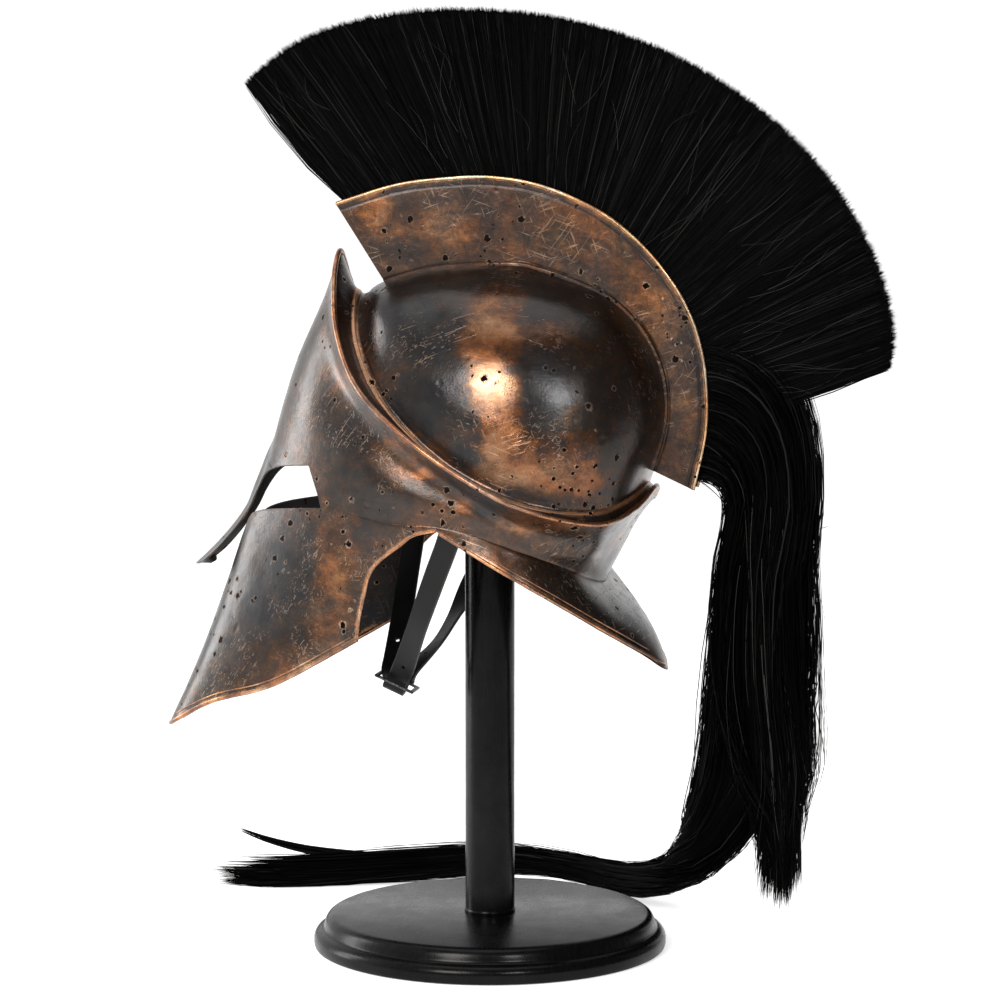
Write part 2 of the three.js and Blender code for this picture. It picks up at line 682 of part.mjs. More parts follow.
// The loop of strap that is folded through the buckle, under its bar.
function strapFold() {
  const outline = new THREE.Shape();
  outline.moveTo(-7, 3);
  outline.lineTo(-7, -3);
  outline.quadraticCurveTo(-6, -8, 0, -8.5);
  outline.quadraticCurveTo(6, -8, 7, -3);
  outline.lineTo(7, 3);
  outline.lineTo(4.6, 3);
  outline.lineTo(4.6, -3);
  outline.quadraticCurveTo(4, -5.6, 0, -6);
  outline.quadraticCurveTo(-4, -5.6, -4.6, -3);
  outline.lineTo(-4.6, 3);
  outline.closePath();
  const options = { depth: STRAP_WIDTH, bevelEnabled: false, curveSegments: 5 };
  const fold = new THREE.ExtrudeGeometry(outline, options);
  return fold.translate(0, 0, -STRAP_WIDTH / 2);
}

// A flat ladder buckle: a rounded frame with two slots.
function buckleFrame() {
  const [length, width] = [33, 26];
  const frame = new THREE.Shape();
  const [a, b, r] = [length / 2, width / 2, 2];
  frame.moveTo(-a + r, -b);
  frame.lineTo(a - r, -b);
  frame.quadraticCurveTo(a, -b, a, -b + r);
  frame.lineTo(a, b - r);
  frame.quadraticCurveTo(a, b, a - r, b);
  frame.lineTo(-a + r, b);
  frame.quadraticCurveTo(-a, b, -a, b - r);
  frame.lineTo(-a, -b + r);
  frame.quadraticCurveTo(-a, -b, -a + r, -b);
  const slot = new THREE.Path();
  const [sx, sy] = [STRAP_WIDTH / 2 + 1, 10];
  slot.moveTo(-sx, -sy);
  slot.lineTo(-sx, sy);
  slot.lineTo(sx, sy);
  slot.lineTo(sx, -sy);
  frame.holes.push(slot);
  const plate = new THREE.ExtrudeGeometry(frame, { depth: 2, bevelEnabled: false, curveSegments: 3 });
  return plate.translate(0, 0, -1);
}

// ---------------------------------------------------------------- stand

function standBase() {
  const [r, h] = [BASE_RADIUS, BASE_HEIGHT];
  const profile = [
    [0, 0], [r - 3, 0], [r - 0.8, 1], [r, 3.5], [r, 8], [r - 1, 11], [r - 3, 13.2], [r - 6, 14.5],
    [r - 7.5, 16], [r - 8.5, 19], [r - 10, 22.5], [r - 12, 24.8], [r - 15, h], [0, h],
  ];
  const lathe = new THREE.LatheGeometry(profile.map(([x, y]) => new THREE.Vector2(x, y)), 48);
  return lathe.rotateX(Math.PI / 2);
}

function standPost() {
  const r = POST_RADIUS;
  const [foot, top] = [BASE_HEIGHT + GAP, POST_TOP];
  const profile = [[0, foot], [r, foot], [r, top - 14], [r * 0.94, top - 8], [r * 0.78, top - 3.5],
    [r * 0.5, top - 0.9], [0, top]];
  const lathe = new THREE.LatheGeometry(profile.map(([x, y]) => new THREE.Vector2(x, y)), 28);
  return lathe.rotateX(Math.PI / 2);
}

// ---------------------------------------------------------------- assembly

const helmet = new THREE.Group();

function place(name, geometry, material, parent = helmet) {
  const mesh = new THREE.Mesh(geometry, material);
  mesh.name = name;
  parent.add(mesh);
  return mesh;
}

place("stand_base", standBase(), BLACK_WOOD);
place("stand_post", standPost(), BLACK_WOOD);
place("face_and_neck_guard", geometryOf(faceAndNeckGuard()), BRONZE);
place("skull_bowl", skullBowl(), BRONZE_BOWL);
place("crest_holder", geometryOf(crestHolder()), BRONZE_CREST);
place("brush_plume", brushPlume(), HAIR);
place("tail_plume_hanging", hangingTail(), HAIR);
place("tail_plume_trailing", geometryOf(trailingTail()), HAIR);
place("chin_strap_right", strap(STRAP_RIGHT, [0, 1, 0], [0, 1, -0.15]), LEATHER);
place("chin_strap_left", strap(STRAP_LEFT, [0, 1, -0.45], [0, 1, -0.15]), LEATHER);
place("nape_strap", strap(STRAP_NAPE, [0, 1, 0.2], [0, 1, -0.15]), LEATHER);

const buckle = new THREE.Group();
buckle.position.set(...BUCKLE_MIDDLE);
buckle.rotation.x = THREE.MathUtils.degToRad(BUCKLE_TILT);
helmet.add(buckle);
place("buckle", buckleFrame().rotateZ(Math.PI / 2), BLACK_STEEL, buckle);
place("strap_fold", strapFold().rotateX(Math.PI / 2), LEATHER, buckle);

export default helmet;
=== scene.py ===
"""A greek bronze helmet with a brush crest and a long hair tail, on its plain display stand.

Metres in Blender, millimetres in the tables. +Z is up, the helmet faces -Y and the wearer's left
is +X. The two metal shells are lofted through nets of control points, as their solids are: each
row is a closed ring round the head, given by ten stations from the front middle to the rear
middle on the left, and mirrored for the right.
"""

import math

import bmesh
import bpy
import numpy as np
from mathutils import Euler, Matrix, Vector, kdtree, noise
from mathutils.bvhtree import BVHTree


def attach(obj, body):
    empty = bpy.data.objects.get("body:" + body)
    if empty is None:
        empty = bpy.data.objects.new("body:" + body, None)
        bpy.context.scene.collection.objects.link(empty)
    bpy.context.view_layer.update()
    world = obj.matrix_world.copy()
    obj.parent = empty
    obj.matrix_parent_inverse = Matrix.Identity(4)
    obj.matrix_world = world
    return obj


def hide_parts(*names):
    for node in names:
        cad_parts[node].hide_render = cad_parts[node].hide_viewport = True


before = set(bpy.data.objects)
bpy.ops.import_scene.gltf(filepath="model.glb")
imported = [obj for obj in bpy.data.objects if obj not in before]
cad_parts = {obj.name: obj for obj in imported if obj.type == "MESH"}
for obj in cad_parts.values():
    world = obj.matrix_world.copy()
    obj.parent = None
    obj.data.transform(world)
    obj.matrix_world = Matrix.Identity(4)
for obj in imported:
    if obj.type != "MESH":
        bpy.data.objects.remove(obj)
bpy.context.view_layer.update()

MM = 0.001
RANDOM = np.random.default_rng(7)

# ---------------------------------------------------------------- camera

camera = bpy.data.objects.new("camera", bpy.data.cameras.new("camera"))
bpy.context.collection.objects.link(camera)
camera.location = (2.45407, 0.47702, 0.58811)
looking = Vector((0, 0.00788, 0.3455)) - camera.location
camera.rotation_euler = looking.to_track_quat("-Z", "Y").to_euler()
camera.data.sensor_width = 36
camera.data.lens = 118.26
bpy.context.scene.camera = camera

# ---------------------------------------------------------------- dimensions, mm

SHEET = 1.6
BROW_BEAD = 1.9
EDGE_BEAD = 1.5
CREST_HALF = 13
CREST_BEAD = 1.4
CREST_DEPTH = 15
BRUSH_TOP_HALF = 21
STRAP_WIDTH = 17.5
STRAP_THICKNESS = 2.2
LAST_STATION = 9

FACE_NET = [
    # rim of the flange
    [[0, -116, 534], [25, -115, 513], [52, -107, 475], [80, -86, 437], [98, -52, 406],
     [110, -5, 375], [112, 45, 350], [86, 95, 337], [48, 117.5, 345], [0, 127, 358]],
    # throat under the flange
    [[0, -124, 508], [24, -121, 490], [49, -112, 456], [73, -90, 421], [88, -56, 391],
     [97, -5, 360], [97, 43, 336], [75, 87, 324], [42, 105, 329], [0, 114, 337]],
    # forehead
    [[0, -150, 446], [26, -146, 436], [54, -127, 415], [78, -95, 385], [92, -57, 362],
     [97, -6, 345], [94, 42, 325], [72, 80, 312], [39, 95, 313], [0, 103, 316]],
    # brow, and the crease of the neck guard
    [[0, -168, 384], [26, -163, 376], [53, -137, 362], [76, -101, 347], [90, -59, 338],
     [96, -10, 333], [92, 42, 316], [67, 72, 302], [36, 82, 293], [0, 88, 286]],
    # just under the crease
    [[0, -171, 374], [26, -167, 366], [52, -141, 354], [75, -104, 340], [90, -60, 331],
     [96.5, -10, 329], [94, 43, 311], [69, 75, 296], [38, 86, 287], [0, 93, 281]],
    # eyes and the middle of the flare
    [[0, -191, 322], [23, -186, 316], [48, -158, 306], [71, -118, 298], [87, -66, 292],
     [98, -12, 305], [103, 44, 288], [79, 87, 270], [45, 109, 259], [0, 123, 250]],
    # cheeks and the edge of the flare
    [[0, -218, 240], [26, -213.5, 240], [46, -190, 240], [66, -150, 240], [82, -90, 240],
     [98, -14, 262], [110, 46, 250], [86, 94, 231], [50, 121, 221], [0, 140, 208]],
    # under the chin and under the flare
    [[0, -256, 150], [28, -254, 150], [46, -228, 150], [60, -190, 160], [72, -130, 180],
     [98, -14, 230], [114, 48, 225], [90, 99, 207], [54, 127, 195], [0, 151, 180]],
]
BOWL_NET = [
    [[0, -113, 529], [24, -112, 509], [50, -104, 473], [77, -84, 435], [95, -51, 405],
     [106, -5, 374.5], [108, 45, 350.5], [83, 92, 339.5], [46.5, 114, 348], [0, 123.5, 359.5]],
    [[0, -107, 511], [23, -105, 496], [48, -97, 468], [73, -78, 434], [89, -48, 403],
     [100, -5, 372.5], [103, 45, 350], [81, 91, 343], [46.5, 113.5, 351], [0, 123, 361.5]],
    # where the dome meets the channel
    [[0, -97, 503], [22, -96, 492], [46, -89, 469], [69, -71, 438], [84, -44, 407],
     [94, -5, 378], [97, 44, 357], [79, 90, 350], [46, 114, 356], [0, 123.5, 365]],
    [[0, -86, 510], [20, -84, 506], [42, -76, 495], [64, -60, 475], [82, -36, 448],
     [95, 2, 420], [96, 48, 404], [80, 95, 400], [46, 126, 404], [0, 137, 410]],
    [[0, -68, 517], [17, -65, 515], [35, -57, 508], [53, -43, 496], [70, -22, 480],
     [84, 10, 464], [84, 50, 456], [68, 92, 454], [40, 120, 455], [0, 131, 456]],
    [[0, -38, 524], [11, -36, 523], [23, -30, 520], [36, -20, 515], [48, -4, 508],
     [56, 16, 502], [55, 45, 499], [45, 73, 496], [26, 92, 497], [0, 99, 498]],
    # apex
    [[0, 14, 528.4], [2, 14, 528.3], [4, 16, 528.2], [6, 18, 528], [7, 22, 527.8],
     [8, 26, 527.5], [7, 30, 527.2], [5, 33, 526.8], [3, 36, 526.4], [0, 37, 526.2]],
]

# The face's opening, [x, z] on the left, as runs of smooth line that meet in corners.
NASAL_TIP = [[0, 292], [9, 293.5], [13.4, 296.4]]
NASAL_EDGE = [[13.4, 296.4], [14.6, 303], [13.8, 313], [12.5, 326], [12.5, 342], [15, 354], [21, 364],
              [32, 371], [46, 373.8], [61, 375.5]]
EYE_CORNER = [[61, 375.5], [66, 361], [71, 343.5]]
CHEEK_FRONT = [[71, 343.5], [60, 342], [38, 338.5], [26, 335], [20.8, 331.6], [19, 322], [19, 303], [19, 284],
               [17.8, 267], [16.5, 250], [15, 190], [14, 120]]

# The lower edges, [y, z] on the left: cheek, its rear edge up to the arch, and the neck guard.
CHEEK_LOWER = [[-300, 134.6], [-262, 160], [-237, 176], [-206, 192], [-166, 204], [-145, 213], [-116, 229],
               [-85, 247]]
CHEEK_REAR = [[-85, 247], [-83, 264], [-79, 282], [-75, 296], [-66, 307], [-50, 319], [-39, 327], [-22, 331]]
NECK_EDGE = [[-22, 331], [11, 312], [39, 296.4], [63.5, 281.6], [85.3, 266.6], [101.4, 254.4],
             [113.7, 243.8], [126.3, 231.9], [136, 220.7], [156, 197]]
ARCH = 4.82  # the station where the neck guard's edge starts
CHIN = (0.72, 2.0)  # the stations between which the chin's edge runs in front of the side lines

# The crest, [y, z].
CREST_RIM = [[-117, 571], [-70, 585], [-31, 590], [2, 591], [36, 586], [69, 574], [99, 557],
             [126, 532], [148, 502], [161, 472], [167, 440], [167, 400], [158, 357]]
CREST_FOOT = [[-74, 504], [-46, 515], [-8, 521], [15, 522], [54, 515], [85, 502], [112, 478],
              [126, 450], [132, 422], [131, 386], [132, 369]]
BRUSH_EDGE = [[-185, 665], [-147, 693], [-108, 707], [-62, 715], [-15, 717], [38, 713],
              [84, 703], [130, 687], [175, 663], [216, 633], [250, 599], [276, 562], [295, 522],
              [305, 482], [303, 453]]
CREST_CENTRE = [20, 415]
BRUSH_SPAN = (0.012, 0.915)

# The hair tail: middle, half width, half thickness and the direction of the thickness. The long
# hair trails away over the floor, the shorter hair hangs beside it in ragged tips.
LONG_HAIR = [
    ([0, 216, 392], 43, 22, [1, 0, 0]), ([-1, 219, 366], 38, 22, [1, 0, 0]),
    ([-6, 215, 322], 36, 20, [1, 0, 0]), ([-18, 209, 284], 38, 20, [1, 0, 0]),
    ([-42, 203, 208], 43, 20, [1, 0, 0.1]), ([-70, 189, 139], 39, 20, [1, 0, 0.2]),
    ([-92, 171, 95], 32, 19, [1, 0, 0.4]), ([-112, 148, 57], 25, 18, [0.8, 0, 0.7]),
    ([-138, 120, 30], 20, 15, [0.4, 0, 1]), ([-172, 82, 18], 17, 13, [0.1, 0, 1]),
    ([-206, 32, 20], 17, 10, [0, 0, 1]), ([-222, -32, 20], 17, 9, [0, 0, 1]),
    ([-216, -102, 13], 15, 8, [0, 0, 1]), ([-193, -165, 9], 12, 6, [0, 0, 1]),
    ([-174, -218, 7.5], 8, 5, [0, 0, 1]), ([-178, -262, 6], 4, 3, [0, 0, 1]),
]
SHORT_HAIR = [
    ([0, 216, 392], 43, 22, [1, 0, 0]), ([-1, 219, 366], 38, 22, [1, 0, 0]),
    ([-6, 215, 322], 36, 20, [1, 0, 0]), ([-18, 210, 284], 38, 20, [1, 0, 0]),
    ([-40, 208, 208], 42, 20, [1, 0, 0.1]), ([-60, 213, 139], 38, 20, [1, 0, 0.1]),
    ([-72, 215, 98], 20, 13, [1, 0, 0.1]), ([-78, 217, 58], 7, 6, [1, 0, 0]),
    ([-82, 216, 22], 2.5, 2.5, [1, 0, 0]),
]
UPPER_LOCK = [
    ([-222, -96, 15], 9, 5, [0, 0, 1]), ([-234, -128, 14], 8, 4.5, [0, 0, 1]),
    ([-240, -162, 14], 7, 4, [0, 0, 1]), ([-239, -205, 18], 5, 3.5, [0, 0, 1]),
    ([-236, -240, 26], 3.5, 2.5, [0, 0, 1]), ([-232, -264, 35], 2, 1.5, [0, 0, 1]),
]

# ---------------------------------------------------------------- splines and surfaces


def spline_weights(t):
    return np.stack([
        0.5 * (-t + 2 * t**2 - t**3), 0.5 * (2 - 5 * t**2 + 3 * t**3),
        0.5 * (t + 4 * t**2 - 3 * t**3), 0.5 * (-t**2 + t**3)], -1)


def spline(points, t):
    """Points of a smooth line through points, at places t from 0 to 1."""
    p = np.array(points, float)
    p = np.concatenate([[2 * p[0] - p[1]], p, [2 * p[-1] - p[-2]]])
    place = np.clip(np.asarray(t, float), 0, 1) * (len(p) - 3)
    i = np.minimum(np.floor(place).astype(int), len(p) - 4)
    near = p[i[..., None] + np.arange(4)]
    return np.einsum("...i,...ij->...j", spline_weights(place - i), near)


def even_spline(points, count):
    """The same line as count points at even distances."""
    fine = spline(points, np.linspace(0, 1, 1200))
    length = np.concatenate([[0], np.cumsum(np.linalg.norm(np.diff(fine, axis=0), axis=1))])
    where = np.linspace(0, length[-1], count)
    return np.stack([np.interp(where, length, fine[:, k]) for k in range(fine.shape[1])], -1)


def closed_net(rows):
    left = np.array(rows, float)
    right = left[:, 8:0:-1] * [-1, 1, 1]
    net = np.concatenate([left, right], 1)
    return np.concatenate([[2 * net[0] - net[1]], net, [2 * net[-1] - net[-2]]])


def net_points(net, u, v):
    i = np.clip(np.floor(v).astype(int), 0, len(net) - 4)
    j = np.floor(u).astype(int)
    rows = i[..., None] + np.arange(4)
    columns = (j[..., None] + np.arange(-1, 3)) % 18
    near = net[rows[..., :, None], columns[..., None, :]]
    return np.einsum("...i,...j,...ijk->...k", spline_weights(v - i), spline_weights(u - j), near)


def smooth(a, b, value):
    t = np.clip((value - a) / (b - a), 0, 1)
    return t * t * (3 - 2 * t)


FACE = closed_net(FACE_NET)
BOWL = closed_net(BOWL_NET)
BOWL[:3] = FACE[:3] + (BOWL[:3] - FACE[:3]) * [[[0.35]], [[0.35]], [[1.0]]]
BOWL[0] = 2 * BOWL[1] - BOWL[2]


def face_points(u, v):
    """The inside of the face and neck guard, with a ridge down the nose and a swept nasal."""
    p = net_points(FACE, u, v)
    x, y, z = p[..., 0], p[..., 1], p[..., 2]
    front = y <= -100
    ridge = 5 * np.exp(-((x / 9) ** 2)) * smooth(400, 372, z)
    below = np.clip((342 - z) / 48, 0, 1.2) * smooth(280, 290, z)
    sweep = 24 * below**1.6 * smooth(16.4, 15, np.abs(x))
    p[..., 1] -= np.where(front, ridge + sweep, 0)
    return p


def bowl_points(u, v):
    return net_points(BOWL, u, v)


def normals(surface, u, v, last_row, outward):
    """Unit normals of a surface; outward is 1 or -1 as its rows run up or down."""
    d = 0.02
    along = surface(u + d, v) - surface(u - d, v)
    down = surface(u, np.minimum(v + d, last_row)) - surface(u, np.maximum(v - d, 0))
    n = np.cross(along, down) * outward
    return n / np.maximum(np.linalg.norm(n, axis=-1, keepdims=True), 1e-9)


# ---------------------------------------------------------------- meshes


def mesh_object(name, points, faces):
    """A piece from points in millimetres and a list of faces."""
    mesh = bpy.data.meshes.new(name)
    mesh.from_pydata((np.asarray(points) * MM).tolist(), [], faces)
    piece = bpy.data.objects.new(name, mesh)
    bpy.context.collection.objects.link(piece)
    mesh.shade_smooth()
    return piece


def select_only(piece):
    bpy.ops.object.select_all(action="DESELECT")
    piece.select_set(True)
    bpy.context.view_layer.objects.active = piece


def shade_by_angle(piece, degrees):
    """Smooth shading with sharp edges kept where faces meet at more than the angle."""
    select_only(piece)
    bpy.ops.object.shade_smooth_by_angle(angle=math.radians(degrees))


def face_outwards(piece):
    """Merges doubles and turns the faces of a closed piece outwards."""
    b = bmesh.new()
    b.from_mesh(piece.data)
    bmesh.ops.remove_doubles(b, verts=b.verts, dist=1e-6)
    bmesh.ops.recalc_face_normals(b, faces=b.faces)
    b.to_mesh(piece.data)
    b.free()


def grid_faces(rows, columns, closed_rows=False, closed_columns=False, flip=False):
    i = np.arange(rows if closed_rows else rows - 1)[:, None]
    j = np.arange(columns if closed_columns else columns - 1)[None, :]
    a = i * columns + j
    b = i * columns + (j + 1) % columns
    c = ((i + 1) % rows) * columns + (j + 1) % columns
    d = ((i + 1) % rows) * columns + j
    quads = np.stack([a, d, c, b] if flip else [a, b, c, d], -1).reshape(-1, 4)
    return quads.tolist()


def capped_faces(steps, around):
    """Faces of a swept body: its skin, from steps rings of around points, and its two end caps."""
    faces = grid_faces(steps, around, closed_columns=True)
    caps = [list(range(around))[::-1], list(range((steps - 1) * around, steps * around))]
    return faces + caps


def apply_modifier(piece, kind, **settings):
    select_only(piece)
    modifier = piece.modifiers.new("work", kind)
    for key, value in settings.items():
        setattr(modifier, key, value)
    bpy.ops.object.modifier_apply(modifier=modifier.name)


def cut_away(piece, outline, axis, start, end):
    """Cuts a prism out of a piece. The outline is closed, in the two other axes, in millimetres."""
    outline = np.asarray(outline, float)
    n = len(outline)
    points = []
    for place in (start, end):
        for a, b in outline:
            points.append((place, a, b) if axis == "X" else (a, place, b))
    faces = [list(range(n)), list(range(2 * n - 1, n - 1, -1))]
    faces += [[i, i + n, (i + 1) % n + n, (i + 1) % n] for i in range(n)]
    cutter = mesh_object("cutter", points, faces)
    face_outwards(cutter)
    apply_modifier(piece, "BOOLEAN", operation="DIFFERENCE", solver="MANIFOLD", object=cutter)
    bpy.data.objects.remove(cutter)


def tube_mesh(line, radius, sides=8, closed=False):
    """Points and faces of a round tube along a line; radius is a number or one per point."""
    line = np.asarray(line, float)
    n = len(line)
    radius = np.broadcast_to(radius, (n,))
    if closed:
        tangent = np.roll(line, -1, 0) - np.roll(line, 1, 0)
    else:
        tangent = np.gradient(line, axis=0)
    tangent /= np.linalg.norm(tangent, axis=1, keepdims=True)
    first = np.cross(tangent[0], [0.31, 0.22, 0.93])
    frames = [first / np.linalg.norm(first)]
    for t in tangent[1:]:
        a = frames[-1] - t * np.dot(frames[-1], t)
        frames.append(a / np.linalg.norm(a))
    a = np.array(frames)
    b = np.cross(tangent, a)
    if closed:
        last = frames[-1] - tangent[0] * np.dot(frames[-1], tangent[0])
        twist = math.atan2(np.dot(last, b[0]), np.dot(last, a[0]))
        turn = -twist * np.arange(n)[:, None] / n
        a, b = a * np.cos(turn) + b * np.sin(turn), b * np.cos(turn) - a * np.sin(turn)
    angle = 2 * np.pi * np.arange(sides) / sides
    ring = a[:, None] * np.cos(angle)[None, :, None] + b[:, None] * np.sin(angle)[None, :, None]
    points = line[:, None] + ring * radius[:, None, None]
    faces = grid_faces(n, sides, closed_rows=True, closed_columns=True) if closed else capped_faces(n, sides)
    return points.reshape(-1, 3), faces


def joined(parts):
    """One list of points and faces from several."""
    points, faces, start = [], [], 0
    for p, f in parts:
        points.append(p)
        faces += [[i + start for i in face] for face in f]
        start += len(p)
    return np.concatenate(points), faces


def noise_at(points, size, seed):
    """Soft noise from about -1 to 1 whose lumps are size millimetres across."""
    offset = Vector((seed * 13.7, seed * 7.1, seed * 3.3))
    return np.array([noise.noise(Vector(p) / size + offset) for p in points])


def set_attribute(piece, name, values):
    attribute = piece.data.attributes.new(name, "FLOAT", "POINT")
    attribute.data.foreach_set("value", np.asarray(values, np.float32))


def vertices(piece):
    """Positions of a piece's vertices in millimetres."""
    flat = np.empty(len(piece.data.vertices) * 3, np.float32)
    piece.data.vertices.foreach_get("co", flat)
    return flat.reshape(-1, 3).astype(float) / MM


def tree_of(points):
    """A search tree that finds the nearest of many points."""
    tree = kdtree.KDTree(len(points))
    for i, p in enumerate(points):
        tree.insert(p, i)
    tree.balance()
    return tree


def distance_to(lines, points):
    """Distance of each point to the nearest of many points on lines."""
    tree = tree_of(np.concatenate(lines))
    return np.array([tree.find(p)[2] for p in points])


def dents(points, normal, seeds, sizes, depths):
    """Moves points in along their normals at dents with a raised lip."""
    tree = tree_of(points)
    move = np.zeros(len(points))
    for seed, size, depth in zip(seeds, sizes, depths):
        for _, i, distance in tree.find_range(seed, size * 1.7):
            r = distance / size
            hollow = -depth * max(0.0, 1 - r * r) ** 1.5
            lip = 0.22 * depth * math.exp(-(((r - 1.08) / 0.25) ** 2))
            move[i] += hollow + lip
    return points + normal * move[:, None]


# ---------------------------------------------------------------- materials


def node_group(name, inputs, outputs):
    group = bpy.data.node_groups.new(name, "ShaderNodeTree")
    for label, kind, value in inputs:
        socket = group.interface.new_socket(name=label, in_out="INPUT", socket_type=kind)
        socket.default_value = value
    for label, kind in outputs:
        group.interface.new_socket(name=label, in_out="OUTPUT", socket_type=kind)
    return group, group.nodes.new("NodeGroupInput"), group.nodes.new("NodeGroupOutput")


class Graph:
    """Short ways to add nodes to a tree."""

    def __init__(self, tree):
        self.tree = tree
        self.coordinates = tree.nodes.new("ShaderNodeTexCoord").outputs["Object"]

    def feed(self, socket, value):
        if isinstance(value, bpy.types.NodeSocket):
            self.tree.links.new(value, socket)
        else:
            socket.default_value = value

    def math(self, operation, a, b=0.5, clamp=False):
        node = self.tree.nodes.new("ShaderNodeMath")
        node.operation = operation
        node.use_clamp = clamp
        self.feed(node.inputs[0], a)
        self.feed(node.inputs[1], b)
        return node.outputs[0]

    def noise(self, scale, detail=5.0, rough=0.6, distortion=0.0, stretch=None):
        node = self.tree.nodes.new("ShaderNodeTexNoise")
        node.inputs["Scale"].default_value = scale
        node.inputs["Detail"].default_value = detail
        node.inputs["Roughness"].default_value = rough
        node.inputs["Distortion"].default_value = distortion
        self.feed(node.inputs["Vector"], self.stretched(stretch) if stretch else self.coordinates)
        return node.outputs["Fac"]

    def stretched(self, scale, turn=(0, 0, 0), place=(0, 0, 0)):
        turned = self.tree.nodes.new("ShaderNodeMapping")
        turned.inputs["Rotation"].default_value = turn
        self.feed(turned.inputs["Vector"], self.coordinates)
        node = self.tree.nodes.new("ShaderNodeMapping")
        node.inputs["Scale"].default_value = scale
        node.inputs["Location"].default_value = place
        self.feed(node.inputs["Vector"], turned.outputs["Vector"])
        return node.outputs["Vector"]

    def lies_along(self, axis):
        """1 where the surface runs along the axis, 0 where it faces that way."""
        node = self.tree.nodes.new("ShaderNodeVectorMath")
        node.operation = "DOT_PRODUCT"
        self.feed(node.inputs[0], self.tree.nodes.new("ShaderNodeTexCoord").outputs["Normal"])
        node.inputs[1].default_value = axis
        return self.step(self.math("ABSOLUTE", node.outputs["Value"], 0), 0.6, 0.3)

    def cells(self, scale):
        node = self.tree.nodes.new("ShaderNodeTexVoronoi")
        node.inputs["Scale"].default_value = scale
        self.feed(node.inputs["Vector"], self.coordinates)
        return node

    def step(self, value, low, high, out_low=0.0, out_high=1.0):
        node = self.tree.nodes.new("ShaderNodeMapRange")
        node.interpolation_type = "SMOOTHSTEP"
        self.feed(node.inputs["Value"], value)
        self.feed(node.inputs["From Min"], low)
        self.feed(node.inputs["From Max"], high)
        self.feed(node.inputs["To Min"], out_low)
        self.feed(node.inputs["To Max"], out_high)
        return node.outputs["Result"]

    def mix(self, factor, a, b, kind="MIX"):
        node = self.tree.nodes.new("ShaderNodeMix")
        node.data_type = "RGBA"
        node.blend_type = kind
        self.feed(node.inputs["Factor"], factor)
        self.feed(node.inputs[6], a)
        self.feed(node.inputs[7], b)
        return node.outputs[2]

    def ramp(self, value, stops):
        node = self.tree.nodes.new("ShaderNodeValToRGB")
        elements = node.color_ramp.elements
        while len(elements) < len(stops):
            elements.new(0.5)
        for element, (place, color) in zip(elements, stops):
            element.position = place
            element.color = (*color, 1)
        self.feed(node.inputs["Fac"], value)
        return node.outputs["Color"]

    def attribute(self, name):
        node = self.tree.nodes.new("ShaderNodeAttribute")
        node.attribute_name = name
        return node.outputs["Fac"]


def corrosion_pits():
    """Dark pits with bright lips, big and small, in loose swarms, and how far they sink."""
    group, source, target = node_group(
        "corrosion pits", [("Amount", "NodeSocketFloat", 0.5)],
        [("Hollow", "NodeSocketFloat"), ("Lip", "NodeSocketFloat"), ("Height", "NodeSocketFloat")])
    g = Graph(group)
    swarm = g.math("MULTIPLY", g.math("SUBTRACT", g.noise(19, 2, 0.5), 0.5), 1.9)
    ragged = g.math("MULTIPLY", g.math("SUBTRACT", g.noise(330, 3), 0.5), 0.36)
    hollow, lip = 0.0, 0.0
    kinds = ((72, 0.19, 1.04, 1.0), (120, 0.22, 1.05, 0.8), (210, 0.24, 1.24, 0.0))
    for scale, size, rarity, bright in kinds:
        limit = g.math("SUBTRACT", rarity, g.math("MULTIPLY", source.outputs["Amount"], 0.4))
        cells = g.cells(scale)
        away = g.math("ADD", cells.outputs["Distance"], ragged)
        split = g.tree.nodes.new("ShaderNodeSeparateColor")
        g.feed(split.inputs[0], cells.outputs["Color"])
        chance = g.math("ADD", split.outputs[0], swarm)
        chosen = g.step(chance, limit, g.math("ADD", limit, 0.03))
        inside = g.math("MULTIPLY", g.step(away, size, size * 0.72), chosen)
        ring = g.math("MULTIPLY", g.step(away, size * 1.3, size * 1.1), chosen)
        hollow = g.math("MAXIMUM", hollow, inside)
        edge = g.math("SUBTRACT", ring, inside, clamp=True)
        lip = g.math("MAXIMUM", lip, g.math("MULTIPLY", edge, bright))
    height = g.math("SUBTRACT", g.math("MULTIPLY", lip, 0.3), hollow)
    g.feed(target.inputs["Hollow"], hollow)
    g.feed(target.inputs["Lip"], lip)
    g.feed(target.inputs["Height"], height)
    return group


def fine_scratches():
    """Thin scratches in several directions, kept to worn patches."""
    group, source, target = node_group(
        "fine scratches", [("Amount", "NodeSocketFloat", 0.5)], [("Mask", "NodeSocketFloat")])
    g = Graph(group)
    total = 0.0
    shapes = (((0.35, 0.0, 1.57), (24, 800, 800)), ((1.2, 0.0, 1.50), (22, 700, 700)),
              ((2.2, 0.1, 1.57), (28, 900, 900)), ((2.85, 0.0, 1.64), (20, 700, 700)),
              ((0.3, 0.2, 0.3), (24, 800, 800)))
    for k, (turn, shape) in enumerate(shapes):
        node = g.tree.nodes.new("ShaderNodeTexNoise")
        node.inputs["Scale"].default_value = 1.0
        node.inputs["Detail"].default_value = 1.0
        g.feed(node.inputs["Vector"], g.stretched(shape, turn, (k * 3.1, k * 1.7, 0)))
        along = g.lies_along(Euler(turn).to_matrix()[0])
        total = g.math("MAXIMUM", total, g.math("MULTIPLY", g.step(node.outputs["Fac"], 0.66, 0.72), along))
    patch = g.step(g.noise(21, 3), 0.46, 0.60)
    mask = g.math("MULTIPLY", g.math("MULTIPLY", total, patch), source.outputs["Amount"])
    g.feed(target.inputs["Mask"], mask)
    return group


